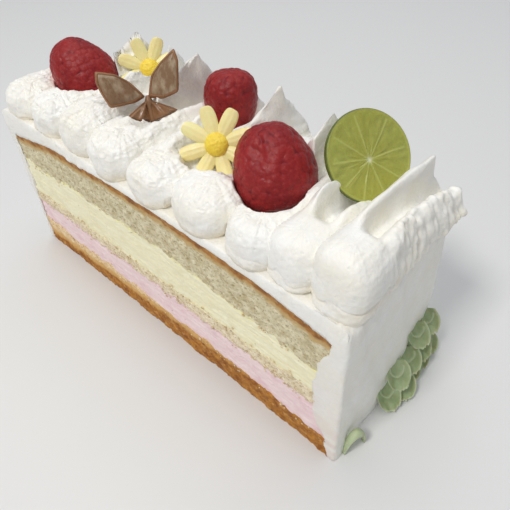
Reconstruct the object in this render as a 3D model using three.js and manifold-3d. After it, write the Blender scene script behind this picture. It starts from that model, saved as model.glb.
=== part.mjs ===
// Lime raspberry cream slice: a bar of layer cake cut open along its front, coated with whipped
// cream on the other sides, with a row of piped cream shells across the top. Raspberries,
// white chocolate daisies, a milk chocolate butterfly and a lime slice are set in the piping,
// and small green piped leaves run round the foot. Millimetres, +Z up. The origin is the middle
// of the footprint, on the bottom, and the cut face looks along -Y.
import * as THREE from 'three';
import { mergeVertices } from 'three/addons/utils/BufferGeometryUtils.js';
import Module from 'manifold-3d';

const wasm = await Module();
wasm.setup();

// Driving dimensions
const LENGTH = 160;          // outside of the cream coat, end to end
const WIDTH = 60;            // cut face to the outside of the back coat
const TOP = 71.5;            // flat cream top that carries the piping
const GAP = 0.3;             // kept between pieces that touch
const SLIVER = 0.03;         // edges shorter than this are closed up after a cut
const BACK_COAT = 5;         // cream on the back
const CRUST_DOME = 69.6;     // highest point of the baked top of the cake
const SHELL_FRONT = -28.5;   // where the piped shells start, just behind the cut face
const SHELL_DEPTH = 55;      // front to back of a piped shell
const DAISY_RADIUS = 11.6;   // daisy centre to petal tip
const LIME_RADIUS = 12.9;
const LIME_THICKNESS = 2.6;
const LEAF_THICKNESS = 0.9;

const FRONT = -WIDTH / 2;
const BACK = WIDTH / 2;
const HALF = LENGTH / 2;

const slice = new THREE.Group();

const looks = {
  sponge: new THREE.MeshStandardMaterial({ color: 0xb9ab83, roughness: 0.95, metalness: 0 }),
  crumb: new THREE.MeshStandardMaterial({ color: 0xc79a55, roughness: 0.95, metalness: 0 }),
  raspberryCream: new THREE.MeshStandardMaterial({ color: 0xdcb4bb, roughness: 0.6, metalness: 0 }),
  limeCream: new THREE.MeshStandardMaterial({ color: 0xd9d3a4, roughness: 0.6, metalness: 0 }),
  cream: new THREE.MeshStandardMaterial({ color: 0xf2f1ec, roughness: 0.45, metalness: 0 }),
  berry: new THREE.MeshStandardMaterial({ color: 0x9c2f33, roughness: 0.4, metalness: 0 }),
  petal: new THREE.MeshStandardMaterial({ color: 0xe8d898, roughness: 0.4, metalness: 0 }),
  centre: new THREE.MeshStandardMaterial({ color: 0xe6c63c, roughness: 0.45, metalness: 0 }),
  chocolate: new THREE.MeshStandardMaterial({ color: 0x7a5b40, roughness: 0.3, metalness: 0 }),
  lime: new THREE.MeshStandardMaterial({ color: 0x98a03c, roughness: 0.3, metalness: 0 }),
  leaf: new THREE.MeshStandardMaterial({ color: 0x9fb88c, roughness: 0.6, metalness: 0 }),
};

const lerp = THREE.MathUtils.lerp;
const clamp = THREE.MathUtils.clamp;
const smooth = THREE.MathUtils.smoothstep;

// Smooth value through evenly spaced control values, t from 0 to 1
function through(values, t) {
  const place = clamp(t, 0, 1) * (values.length - 1);
  const k = Math.min(Math.floor(place), values.length - 2);
  const s = place - k;
  return lerp(values[k], values[k + 1], s * s * (3 - 2 * s));
}

// Gentle unevenness between -1 and 1, different for each seed
function unevenness(p, seed) {
  return 0.5 * Math.sin(p * 1.7 + seed * 2.3) + 0.3 * Math.sin(p * 3.1 + seed * 5.1)
    + 0.2 * Math.sin(p * 5.3 + seed * 1.9);
}

// Positions and triangle indices become a geometry with shared vertices
function geometryOf(positions, triangles) {
  const geometry = new THREE.BufferGeometry();
  geometry.setAttribute('position', new THREE.BufferAttribute(new Float32Array(positions), 3));
  geometry.setIndex(triangles);
  return mergeVertices(geometry, 1e-4);
}

function solid(geometry) {
  const merged = geometryOf(geometry.attributes.position.array, Array.from(geometry.index.array));
  return new wasm.Manifold(new wasm.Mesh({
    numProp: 3,
    vertProperties: merged.attributes.position.array,
    triVerts: new Uint32Array(merged.index.array),
  }));
}

// The largest body of a solid, so that no loose scrap is left after a cut
function largestBody(body) {
  const pieces = body.decompose();
  let best = pieces[0];
  for (const piece of pieces) {
    if (piece.volume() > best.volume()) best = piece;
  }
  return best;
}

function meshOf(body) {
  const mesh = body.simplify(SLIVER).getMesh();
  return geometryOf(Array.from(mesh.vertProperties), Array.from(mesh.triVerts));
}

function addPiece(name, shape, material) {
  const geometry = shape instanceof THREE.BufferGeometry ? shape : meshOf(largestBody(shape));
  geometry.computeVertexNormals();
  const mesh = new THREE.Mesh(geometry, material.clone());
  mesh.name = name;
  slice.add(mesh);
}

// The geometry with its faces turned out, by the sign of the volume that they enclose
function facesOut(geometry) {
  const position = geometry.attributes.position;
  const index = geometry.index.array;
  const [a, b, c] = [new THREE.Vector3(), new THREE.Vector3(), new THREE.Vector3()];
  let volume = 0;
  for (let k = 0; k < index.length; k += 3) {
    a.fromBufferAttribute(position, index[k]);
    b.fromBufferAttribute(position, index[k + 1]);
    c.fromBufferAttribute(position, index[k + 2]);
    volume += a.dot(b.cross(c));
  }
  if (volume < 0) {
    for (let k = 0; k < index.length; k += 3) {
      [index[k], index[k + 1]] = [index[k + 1], index[k]];
    }
  }
  return geometry;
}

// A closed body from rings of equal length. Both ends are closed by a fan round the ring's middle.
function ringBody(rings) {
  const count = rings[0].length;
  const positions = [];
  const triangles = [];
  for (const ring of rings) {
    for (const point of ring) positions.push(point.x, point.y, point.z);
  }
  const last = (rings.length - 1) * count;
  for (let k = 0; k < rings.length - 1; k++) {
    for (let i = 0; i < count; i++) {
      const a = k * count + i;
      const b = k * count + (i + 1) % count;
      triangles.push(a, b, b + count, a, b + count, a + count);
    }
  }
  for (const [start, flip] of [[0, true], [last, false]]) {
    const middle = new THREE.Vector3();
    for (let i = 0; i < count; i++) middle.add(rings[start / count][i]);
    middle.divideScalar(count);
    const centre = positions.length / 3;
    positions.push(middle.x, middle.y, middle.z);
    for (let i = 0; i < count; i++) {
      const a = start + i;
      const b = start + (i + 1) % count;
      triangles.push(...(flip ? [b, a, centre] : [a, b, centre]));
    }
  }
  return facesOut(geometryOf(positions, triangles));
}

// A closed sheet between two grids alike, front(u, v) and back(u, v), u and v from 0 to 1
function sheetBody(front, back, rows, columns) {
  const positions = [];
  const triangles = [];
  const at = (side, i, j) => side * (rows + 1) * (columns + 1) + i * (columns + 1) + j;
  for (const side of [front, back]) {
    for (let i = 0; i <= rows; i++) {
      for (let j = 0; j <= columns; j++) {
        const point = side(i / rows, j / columns);
        positions.push(point.x, point.y, point.z);
      }
    }
  }
  for (let i = 0; i < rows; i++) {
    for (let j = 0; j < columns; j++) {
      for (const side of [0, 1]) {
        const corners = [at(side, i, j), at(side, i + 1, j), at(side, i + 1, j + 1), at(side, i, j + 1)];
        const [a, b, c, d] = side === 0 ? corners : [corners[0], corners[3], corners[2], corners[1]];
        if (side === 0) triangles.push(a, b, c, a, c, d);
        else triangles.push(a, c, d, a, b, c);
      }
    }
  }
  const rim = [];
  for (let j = 0; j < columns; j++) rim.push([0, j]);
  for (let i = 0; i < rows; i++) rim.push([i, columns]);
  for (let j = columns; j > 0; j--) rim.push([rows, j]);
  for (let i = rows; i > 0; i--) rim.push([i, 0]);
  for (let k = 0; k < rim.length; k++) {
    const [i, j] = rim[k];
    const [m, n] = rim[(k + 1) % rim.length];
    triangles.push(at(0, i, j), at(0, m, n), at(1, m, n), at(0, i, j), at(1, m, n), at(1, i, j));
  }
  return facesOut(geometryOf(positions, triangles));
}

// The cake inside the coat. Its ends lean in and out, and t runs along it from 0 to 1.
const LEFT_END = [-78.4, -78, -77, -75.8, -74.4, -73, -72.4, -72];
const RIGHT_END = [76.4, 75, 70.8, 69.6, 69.4, 70.6, 73.6, 75.4];
const CAKE_HEIGHTS = 70;     // the heights that the two lists above cover, evenly
const CAKE_BACK = BACK - BACK_COAT;
const STATIONS = 13;

// Heights of the surfaces between the layers, from the left end to the right end
const LEVELS = [
  { name: 'bottom_sponge', top: [14.2, 13.8, 13.4, 12.6, 9.6], rough: 0.6, recess: 0.3 },
  { name: 'raspberry_cream', top: [26.9, 27.1, 27.4, 27.2, 26.9], rough: 0.5, recess: 0.6 },
  { name: 'middle_sponge', top: [32.1, 32.4, 32.9, 33.8, 34.6], rough: 0.5, recess: 0.2 },
  { name: 'lime_cream', top: [49.3, 50.6, 51.8, 50.2, 45.7], rough: 0.7, recess: 0.5 },
  { name: 'top_sponge', top: [62.6, 67.4, 69.2, CRUST_DOME, 68.3, 64.4], rough: 0.25, recess: 0 },
];

function levelHeight(k, t) {
  return through(LEVELS[k].top, t) + LEVELS[k].rough * unevenness(t * 11, k + 1);
}

function cakePoint(t, v, z, spread) {
  const height = clamp(z, 0, CAKE_HEIGHTS) / CAKE_HEIGHTS;
  const left = through(LEFT_END, height) - spread;
  const right = through(RIGHT_END, height) + spread;
  return new THREE.Vector3(lerp(left, right, t), v, z);
}

function layerBody(k) {
  const { recess } = LEVELS[k];
  const surface = (level, lift) => (t, v) => {
    const z = level < 0 ? 0 : levelHeight(level, t) + lift;
    const front = FRONT + recess + 0.2 * unevenness(t * 19, k + 7);
    return cakePoint(t, lerp(front, CAKE_BACK, v), z, 0);
  };
  return sheetBody(surface(k, -GAP / 2), surface(k - 1, GAP / 2), STATIONS, 1);
}

// The same layers a gap larger, which the coat is hollowed by
function hollowFor(k) {
  const beyond = 4;
  const under = 0.05;
  const surface = (level, lift) => (t, v) => {
    const z = level < 0 ? -under : levelHeight(level, t) + lift;
    return cakePoint(t, lerp(FRONT - beyond, CAKE_BACK + GAP, v), z, GAP + under);
  };
  return sheetBody(surface(k, GAP), surface(k - 1, -GAP), STATIONS, 1);
}

LEVELS.forEach((level, k) => {
  const material = { raspberry_cream: looks.raspberryCream, lime_cream: looks.limeCream,
    bottom_sponge: looks.crumb }[level.name] ?? looks.sponge;
  addPiece(level.name, layerBody(k), material);
});

// The whipped cream coat: the two ends, the back and the flat top in one
const LEFT_LEAN = 5;         // how far the left end leans in from bottom to top
const RIGHT_FOOT = 79.7;     // foot of the right end
const RIGHT_LEAN = 1.3;
const LEFT_FLARE = 2;        // the left end's foot stands out this far past the nominal end
const COAT_WAVE = 0.5;
const CORNER = 6;            // radius of the two back corners
const EDGE = 2.2;            // how far the top edges are rounded over

function coatOutline(z, inset) {
  const rise = z / TOP;
  const left = -HALF - LEFT_FLARE + LEFT_LEAN * Math.pow(rise, 0.8) + inset;
  const right = RIGHT_FOOT - RIGHT_LEAN * rise - inset;
  const back = BACK - 1.5 * rise - inset;
  const points = [new THREE.Vector3(left, FRONT, z), new THREE.Vector3(right, FRONT, z)];
  const wave = (p, seed) => COAT_WAVE * unevenness(p / 7 + z / 16, seed) * Math.min(1, (TOP - z) / 4);
  const sideSteps = 4;
  for (let i = 1; i < sideSteps; i++) {
    const y = lerp(FRONT, back - CORNER, i / sideSteps);
    points.push(new THREE.Vector3(right + wave(y, 3), y, z));
  }
  const turn = (cx, cy, from) => {
    for (let i = 0; i <= 3; i++) {
      const angle = from + (i / 3) * Math.PI / 2;
      points.push(new THREE.Vector3(cx + CORNER * Math.cos(angle), cy + CORNER * Math.sin(angle), z));
    }
  };
  turn(right - CORNER, back - CORNER, 0);
  const backSteps = 8;
  for (let i = 1; i < backSteps; i++) {
    const x = lerp(right - CORNER, left + CORNER, i / backSteps);
    points.push(new THREE.Vector3(x, back + wave(x, 4), z));
  }
  turn(left + CORNER, back - CORNER, Math.PI / 2);
  for (let i = sideSteps - 1; i > 0; i--) {
    const y = lerp(FRONT, back - CORNER, i / sideSteps);
    points.push(new THREE.Vector3(left - wave(y, 5), y, z));
  }
  return points;
}

const COAT_HEIGHTS = [0, 18, 36, 54, TOP - EDGE];
const coatRings = COAT_HEIGHTS.map((z) => coatOutline(z, 0));
coatRings.push(coatOutline(TOP - EDGE * 0.3, EDGE * 0.3), coatOutline(TOP, EDGE));
let coat = solid(ringBody(coatRings));
LEVELS.forEach((level, k) => {
  coat = coat.subtract(solid(hollowFor(k)));
});
addPiece('cream_coat', coat, looks.cream);

// Things set in the piping. Each is made once at its own size and once a gap larger. The larger
// one is swept out the way that the thing was pressed in, and that is cut out of the shells.
const pockets = [];
const SHELL_FOOT = TOP + GAP;
const PRESSED_FROM = new THREE.Vector3(0.14, -0.48, 0.86);
const PRESS = 16;            // length of the sweep

function swept(body, length) {
  const moved = body.translate(PRESSED_FROM.clone().multiplyScalar(length).toArray());
  return wasm.Manifold.hull([body, moved]);
}

function clearOf(body, others) {
  return others.reduce((rest, other) => rest.subtract(other), body);
}

// A frame whose z axis is the given direction and whose y axis points as far up as it can
function facing(origin, normal) {
  const z = normal.clone().normalize();
  const x = new THREE.Vector3(0, 0, 1).cross(z).normalize();
  const y = z.clone().cross(x);
  return new THREE.Matrix4().makeBasis(x, y, z).setPosition(origin);
}

// A raspberry: rings from the tip to the open base, each second point of each second ring pushed
// out as the top of a drupelet
const BERRIES = [
  { at: [-57.7, -3, 81.6], axis: [-0.5, -0.14, 0.8], radius: 12.1, length: 25 },
  { at: [2, 13.8, 81.8], axis: [0.1, -0.15, -1], radius: 9.4, length: 23 },
  { at: [34.8, -4.1, 83.4], axis: [-0.4, 0.2, 0.85], radius: 12.7, length: 24.5 },
];
const DRUPELETS_ROUND = 13;
const DRUPELET_ROWS = 7;
const DRUPELET_RISE = 0.7;
const TAPER = 0.19;          // how much wider the open base is than the tip
const FACET_SLACK = 0.8;     // the hollow that a berry sits in has fewer facets than the berry

function berryBody({ at, axis, radius, length }, grow) {
  const frame = facing(new THREE.Vector3(...at), new THREE.Vector3(...axis));
  const rings = [];
  const around = grow > 0 ? DRUPELETS_ROUND : DRUPELETS_ROUND * 2;
  const steps = grow > 0 ? DRUPELET_ROWS : DRUPELET_ROWS * 2;
  for (let j = 1; j < steps; j++) {
    const angle = Math.PI * j / steps;
    const girth = Math.pow(Math.sin(angle), 0.72) * (0.9 - TAPER * Math.cos(angle));
    const ring = [];
    for (let i = 0; i < around; i++) {
      const turn = 2 * Math.PI * i / around;
      const top = grow === 0 && j % 2 === 1 && (i + (j - 1) / 2) % 2 === 1;
      const rise = grow > 0 ? grow + DRUPELET_RISE + FACET_SLACK : (top ? DRUPELET_RISE : 0);
      const out = radius * girth + rise * Math.sin(angle);
      const along = (length / 2 + rise) * Math.cos(angle);
      const point = new THREE.Vector3(out * Math.cos(turn), out * Math.sin(turn), along);
      ring.push(point.applyMatrix4(frame));
    }
    rings.push(ring);
  }
  return ringBody(rings);
}

// Everything above the foot of the shells
const aboveTop = solid(new THREE.BoxGeometry(2 * LENGTH, 2 * LENGTH, LENGTH)
  .translate(0, 0, SHELL_FOOT + LENGTH / 2));

BERRIES.forEach((berry, k) => {
  addPiece(`raspberry_${k + 1}`, solid(berryBody(berry, 0)).intersect(aboveTop), looks.berry);
  pockets.push(swept(solid(berryBody(berry, GAP)), PRESS));
});

// A moulded daisy of eight rounded petals with a domed yellow centre
const DAISIES = [
  { at: [-39.9, 14.1, 81], normal: [0.725, -0.516, 0.454], turn: 18 },
  { at: [14.9, -6.2, 83], normal: [0.415, -0.703, 0.573], turn: 21 },
];
const PETALS = 8;
const PETAL_WIDTH = 5.6;
const PETAL_THICKNESS = 2.2;
const CENTRE_RADIUS = 3.5;
const CENTRE_HEIGHT = 2.6;
const CUP = 1.6;             // how far the petal tips come forward

function petalBody(frame, turn, grow) {
  const rings = [];
  const steps = 5;
  const inner = 1.5;
  for (let k = 1; k < steps; k++) {
    const s = k / steps;
    const along = lerp(inner - grow, DAISY_RADIUS + grow, (1 - Math.cos(Math.PI * s)) / 2);
    const width = (PETAL_WIDTH / 2 + grow) * Math.pow(Math.sin(Math.PI * s), 0.6) * lerp(0.62, 1.08, s);
    const thick = (PETAL_THICKNESS / 2 + grow) * Math.pow(Math.sin(Math.PI * s), 0.5);
    const lift = CUP * s * s;
    const ring = [];
    for (let i = 0; i < 6; i++) {
      const angle = 2 * Math.PI * i / 6;
      ring.push(new THREE.Vector3(along, width * Math.cos(angle), lift + thick * Math.sin(angle))
        .applyAxisAngle(new THREE.Vector3(0, 0, 1), turn).applyMatrix4(frame));
    }
    rings.push(ring);
  }
  return ringBody(rings);
}

function roundBody(frame, profile, sides) {
  const rings = profile.map(([radius, height]) => {
    const ring = [];
    for (let i = 0; i < sides; i++) {
      const angle = 2 * Math.PI * i / sides;
      ring.push(new THREE.Vector3(radius * Math.cos(angle), radius * Math.sin(angle), height)
        .applyMatrix4(frame));
    }
    return ring;
  });
  return ringBody(rings);
}

function daisyPetals(frame, turn, grow) {
  const hub = [[3.2 + grow, -PETAL_THICKNESS / 2 - grow], [3.2 + grow, PETAL_THICKNESS / 4 + grow]];
  let body = solid(roundBody(frame, hub, 12));
  for (let k = 0; k < PETALS; k++) {
    const angle = THREE.MathUtils.degToRad(turn + 360 * k / PETALS);
    body = body.add(solid(petalBody(frame, angle, grow)));
  }
  return body;
}

function daisyCentre(frame, grow) {
  const base = PETAL_THICKNESS / 4 + GAP - grow;
  const profile = [[CENTRE_RADIUS + grow, base]];
  for (let k = 1; k < 4; k++) {
    const angle = k * Math.PI / 8;
    profile.push([(CENTRE_RADIUS + grow) * Math.cos(angle),
      PETAL_THICKNESS / 4 + GAP + (CENTRE_HEIGHT + grow) * Math.sin(angle)]);
  }
  return solid(roundBody(frame, profile, 12));
}

DAISIES.forEach(({ at, normal, turn }, k) => {
  const frame = facing(new THREE.Vector3(...at), new THREE.Vector3(...normal));
  const petals = daisyPetals(frame, turn, 0).subtract(daisyCentre(frame, GAP));
  addPiece(`daisy_${k + 1}_petals`, clearOf(petals.intersect(aboveTop), pockets), looks.petal);
  addPiece(`daisy_${k + 1}_centre`, clearOf(daisyCentre(frame, 0), pockets), looks.centre);
  const reach = DAISY_RADIUS + GAP * 2;
  const depth = PETAL_THICKNESS / 2 + GAP;
  const disc = [[reach * 0.5, -depth], [reach, CUP - depth], [reach, CUP + depth],
    [reach * 0.5, CUP + depth]];
  pockets.push(swept(solid(roundBody(frame, disc, 16)), PRESS));
});

// The moulded chocolate butterfly: a fore wing and a hind wing on each side of a slim body, each
// wing with a raised middle. Outlines are across and up from the waist, and a wing comes forward
// by the slope of its side.
const BUTTERFLY_AT = [-17, -5, 83];
const BUTTERFLY_NORMAL = [0.71, -0.484, 0.512];
const WING_EDGE = 1.1;       // thickness at the rim
const WING_RISE = 1.3;
const LEFT_SLOPE = 0.35;
const RIGHT_SLOPE = 0.6;
const WINGS = [
  { slope: LEFT_SLOPE, outline: [[-0.6, 3.4], [-4.5, 8.7], [-8.5, 11.8], [-14.3, 13.5], [-14.8, 9.9],
    [-14, 6.6], [-12.2, 1.5], [-4.2, 2]] },
  { slope: RIGHT_SLOPE, outline: [[0, 3], [4.7, 1.8], [9.9, 3.1], [11.6, 12.7], [11, 16.7], [6, 13.3],
    [2.3, 9.8]] },
  { slope: LEFT_SLOPE, outline: [[-0.5, 2.6], [-8.3, -2.2], [-4.7, -4.2], [0, -4.8]] },
  { slope: RIGHT_SLOPE, outline: [[0, 2.6], [-0.4, -5], [6.5, -3.4], [8.8, -2.2]] },
];
const TRUNK = [[0.6, -5.4], [1.4, -3.6], [1.3, -0.6], [1.6, 1.8], [0.7, 4.4]];
const TRUNK_FORWARD = 0.6;

function wingBody(frame, { slope, outline }, grow) {
  const middle = new THREE.Vector2();
  for (const [x, y] of outline) middle.add(new THREE.Vector2(x, y));
  middle.divideScalar(outline.length);
  const ringAt = (share, height) => outline.map(([x, y]) => {
    const reach = share + grow / 5;
    const across = lerp(middle.x, x, reach);
    const up = lerp(middle.y, y, reach);
    return new THREE.Vector3(across, up, height + Math.abs(across) * slope).applyMatrix4(frame);
  });
  return ringBody([ringAt(1, -WING_EDGE / 2 - grow), ringAt(1, WING_EDGE / 2 + grow),
    ringAt(0.55, WING_EDGE / 2 + WING_RISE + grow)]);
}

const butterflyFrame = facing(new THREE.Vector3(...BUTTERFLY_AT), new THREE.Vector3(...BUTTERFLY_NORMAL));

function butterflyBody(grow) {
  const frame = butterflyFrame;
  const lie = new THREE.Matrix4().makeRotationX(-Math.PI / 2).setPosition(0, 0, TRUNK_FORWARD);
  const trunk = TRUNK.map(([radius, up]) => [radius + grow, up * (1 + grow / 6)]);
  let body = solid(roundBody(frame.clone().multiply(lie), trunk, 8));
  for (const wing of WINGS) body = body.add(solid(wingBody(frame, wing, grow)));
  return body;
}

addPiece('chocolate_butterfly', clearOf(butterflyBody(0).intersect(aboveTop), pockets), looks.chocolate);
pockets.push(butterflyBody(GAP));
for (const wing of WINGS) pockets.push(swept(solid(wingBody(butterflyFrame, wing, GAP)), PRESS));

// The lime slice: a thin disc whose peel stands a little proud of the flesh, leaning back
const LIME_AT = [56.3, 10, 88.6];
const LIME_NORMAL = [0.69, -0.29, 0.66];
const PEEL = 1;              // width of the peel

function limeBody(grow) {
  const frame = facing(new THREE.Vector3(...LIME_AT), new THREE.Vector3(...LIME_NORMAL));
  const half = LIME_THICKNESS / 2 + grow;
  const edge = LIME_RADIUS + grow;
  const flesh = grow > 0 ? half : half - 0.25;
  const profile = [[edge - PEEL * 1.6, -flesh], [edge - PEEL, -half], [edge, -half * 0.4],
    [edge, half * 0.4], [edge - PEEL, half], [edge - PEEL * 1.6, flesh]];
  return solid(roundBody(frame, profile, 24));
}

addPiece('lime_slice', clearOf(limeBody(0).intersect(aboveTop), pockets), looks.lime);
pockets.push(limeBody(GAP));

// The piped shells, from the right end to the left. Each starts as a round bulb at the cut edge
// and runs back as two ridges with a valley between them. The left ridge rises to a sharp tip and
// drops behind it. Ridge heights are given from the bulb to the tip, start moves the front, and
// slant is how far the shell drifts sideways on its way back. The first shell's left ridge is an
// even wall that is cut off square at the back.
const SHELLS = [
  { x: 71.2, half: 8.6, start: 0, bulb: 17.8, slant: 3.2, tip: 0.89, wall: true, valley: 5.5,
    left: [18.6, 19, 18, 16.4], right: [18, 17, 15, 9] },
  { x: 57.5, half: 8.2, start: 0, bulb: 14, slant: 1, valley: 5,
    left: [14, 16.5, 8.5, 6], right: [14, 13.5, 7.5, 5] },
  { x: 44.5, half: 9, start: -1.5, bulb: 11.5, slant: 1, valley: 4,
    left: [11.5, 13, 17, 21], right: [11.5, 11, 11, 9] },
  { x: 25, half: 11, start: -1.5, bulb: 11.5, slant: 2, valley: 4,
    left: [11.5, 13, 17, 22], right: [11.5, 11, 11, 9] },
  { x: 6, half: 10.2, start: -2, bulb: 10.5, slant: 5, valley: 4,
    left: [11, 12, 15, 19], right: [10.5, 10, 10, 9] },
  { x: -13.5, half: 9.8, start: -2, bulb: 12, slant: 7, valley: 4,
    left: [12, 13, 17, 22], right: [12, 11.5, 11, 9] },
  { x: -31, half: 9.4, start: -0.5, bulb: 12.5, slant: 9, valley: 4,
    left: [12.5, 13, 17, 21.5], right: [12, 11.5, 11, 9] },
  { x: -48.5, half: 10, start: -0.5, bulb: 11.5, slant: 12, valley: 3,
    left: [11.5, 12, 15, 21], right: [11.5, 10, 10, 9] },
  { x: -67, half: 10, start: -0.5, bulb: 9, slant: 8, valley: 1.5,
    left: [9, 8.5, 6.5, 4.5], right: [9, 8.5, 6, 4.5] },
];
const RIDGES_START = 0.22;   // where the bulb starts to open into two ridges
const RIDGES_OPEN = 0.34;
const THINNEST = 3;          // cream under a valley
const TIP_PLACE = 0.8;       // share of the depth at which the tip stands
const SHELL_STATIONS = [0.006, 0.022, 0.055, 0.11, 0.2, 0.3, 0.38, 0.5, 0.65, 0.8, 0.86, 0.93, 0.985];

// Section points from the left foot over the top to the right foot: the place across as a share
// of the half width, and the share of the bulb's height. The bulb comes first, then the ridges.
const BULB = [[-0.95, 0], [-1, 0.22], [-0.99, 0.5], [-0.85, 0.77], [-0.6, 0.93], [-0.3, 0.99],
  [0, 1], [0.3, 0.99], [0.6, 0.93], [0.85, 0.77], [0.99, 0.5], [1, 0.22], [0.95, 0]];
const RIDGES = [-0.95, -1, -0.93, -0.74, -0.5, -0.34, -0.1, 0.2, 0.42, 0.62, 0.86, 1, 0.95];
const LEFT_SHARES = [0, 0.26, 0.48, 0.74, 0.95, 1];
const WALL = [-0.95, -1, -0.93, -0.74, -0.48, -0.3, -0.2, 0.14, 0.36, 0.58, 0.86, 1, 0.95];
const WALL_SHARES = [0, 0.26, 0.48, 0.74, 1, 0.98];
const RIGHT_SHARES = [0.96, 1, 0.72, 0.4, 0];

function shellSection(shell, s) {
  const blend = smooth(s, RIDGES_START, RIDGES_OPEN);
  const along = (s - RIDGES_START) / ((shell.tip ?? TIP_PLACE) - RIDGES_START);
  const left = through(shell.left, along);
  const right = through(shell.right, along);
  const floor = Math.max(Math.min(left, right) - shell.valley, THINNEST);
  const shares = shell.wall ? WALL_SHARES : LEFT_SHARES;
  const places = shell.wall ? WALL : RIDGES;
  const ridged = [...shares.map((share) => share * left), floor, floor,
    ...RIGHT_SHARES.map((share) => share * right)];
  return BULB.map(([u, w], i) => [lerp(u, places[i], blend), lerp(w * shell.bulb, ridged[i], blend)]);
}

function shellBody(shell, seed, grow) {
  const tip = shell.tip ?? TIP_PLACE;
  const rings = SHELL_STATIONS.map((station) => {
    const s = station < TIP_PLACE ? station : lerp(tip, 1, (station - TIP_PLACE) / (1 - TIP_PLACE));
    const nose = 1 - Math.min(s * SHELL_DEPTH / shell.half, 1);
    const girth = Math.sqrt(1 - nose * nose);
    const front = Math.pow(1 - Math.pow(nose, 3.4), 1 / 3.4);
    const behind = Math.max(s - tip, 0) / (1 - tip);
    const fall = lerp(1, 0.28, Math.pow(behind, shell.wall ? 0.4 : 0.8));
    const half = (shell.half + 0.4 * unevenness(s * 7, seed)) * girth * lerp(1, 0.75, behind) + grow;
    const y = lerp(SHELL_FRONT + shell.start - grow, SHELL_FRONT + SHELL_DEPTH + grow, s);
    return shellSection(shell, s).map(([u, w]) => {
      const x = shell.x + shell.slant * Math.max(s - RIDGES_START, 0) + u * half;
      const up = w === 0 ? -grow : w * fall * front + grow;
      return new THREE.Vector3(x, y, SHELL_FOOT + up);
    });
  });
  return solid(ringBody(rings));
}

SHELLS.forEach((shell, k) => {
  let body = shellBody(shell, k, 0);
  if (k > 0) body = body.subtract(shellBody(SHELLS[k - 1], k - 1, GAP));
  addPiece(`piped_shell_${k + 1}`, clearOf(body, pockets), looks.cream);
});

// Green piped leaves round the foot: thin cupped scales with wavy margins that grow out of the
// coat. Each lies over the next one back along the border, and a higher one over the lower ones.
const LEAF_WIDTH = 9.6;
const LEAF_HEIGHT = 10.4;
const LEAF_CUP = 1.2;        // how far the margins stand up from the middle
const RUFFLE = 0.2;
const LEAF_OUT = 0.6;        // how far a leaf faces away from the coat
const LEAF_ALONG = 0.45;     // how far it faces along the border
const LEAF_UP = 0.66;

// Each side of the border by its turn from the right end, and a point on that side's coat
const SIDES = {
  right: { turn: 0, wall: (p, z) => new THREE.Vector3(RIGHT_FOOT - RIGHT_LEAN * z / TOP, p, z) },
  back: { turn: Math.PI / 2, wall: (p, z) => new THREE.Vector3(-p, BACK - 1.5 * z / TOP, z) },
  left: { turn: Math.PI, wall: (p, z) => new THREE.Vector3(-HALF - LEFT_FLARE, -p, z) },
};

function leafBody({ side, p, z, out, size, rows }, seed) {
  const { turn, wall } = SIDES[side];
  const up = new THREE.Vector3(0, 0, 1);
  const outward = new THREE.Vector3(1, 0, 0).applyAxisAngle(up, turn);
  const normal = new THREE.Vector3(LEAF_OUT, -LEAF_ALONG, LEAF_UP).applyAxisAngle(up, turn);
  const frame = facing(wall(p, z).addScaledVector(outward, out), normal);
  const width = LEAF_WIDTH * size * (1 + 0.06 * unevenness(seed, 2));
  const height = LEAF_HEIGHT * size * (1 + 0.07 * unevenness(seed, 4));
  const face = (lift) => (u, v) => {
    const c = 2 * v - 1;
    const half = width / 2 * Math.pow(Math.sin(Math.PI * lerp(0.2, 0.8, u)), 0.7);
    const along = height * (0.5 - u * (1 - 0.14 * c * c));
    const rim = Math.max(c * c, smooth(u, 0.55, 1));
    const wave = RUFFLE * rim * Math.sin(5 * Math.PI * v + 4 * u + seed);
    return new THREE.Vector3(c * half, along, LEAF_CUP * rim + wave + lift).applyMatrix4(frame);
  };
  return sheetBody(face(LEAF_THICKNESS), face(0), rows, 4);
}

const LEAVES = [];
const addLeaves = (side, z, out, places, size = 1, rows = 3) => {
  for (const p of places) LEAVES.push({ side, p, z, out, size, rows });
};
addLeaves('right', 4.5, 2, [-1.6, 11.2, 17.6], 0.95);
addLeaves('right', 4.3, 3.8, [4.8], 0.95);
addLeaves('right', 12.5, 2.2, [2.5, 9.5, 16.5], 0.95);
addLeaves('right', 20, 1.4, [15.5, 22.5], 0.85);
addLeaves('right', 4.2, 2, [25], 0.9);
const BACK_LEAVES = 17;
const BACK_PITCH = 9;
const BACK_PLACES = Array.from({ length: BACK_LEAVES }, (_, k) => (k - (BACK_LEAVES - 1) / 2) * BACK_PITCH);
addLeaves('back', 5.6, 3, BACK_PLACES, 1.2, 2);
addLeaves('left', 5.6, 3, [-24, -15, -6, 3, 12], 1.2, 2);

const coatRoom = solid(ringBody(COAT_HEIGHTS.map((z) => coatOutline(z, -GAP))));

LEAVES.forEach((leaf, k) => {
  addPiece(`leaf_${k + 1}`, clearOf(solid(leafBody(leaf, k)), [coatRoom]), looks.leaf);
});

// The last bit of the border: a thin arched curl of leaf on the foot, near the front corner
const CURL_AT = [RIGHT_FOOT + 1.9, -21.9];
const CURL_ALONG = [0.35, 0.94];
const CURL_RADIUS = 3.9;
const CURL_RISE = 2.6;       // height of the arch for each millimetre of its radius
const CURL_STEPS = 8;

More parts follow.
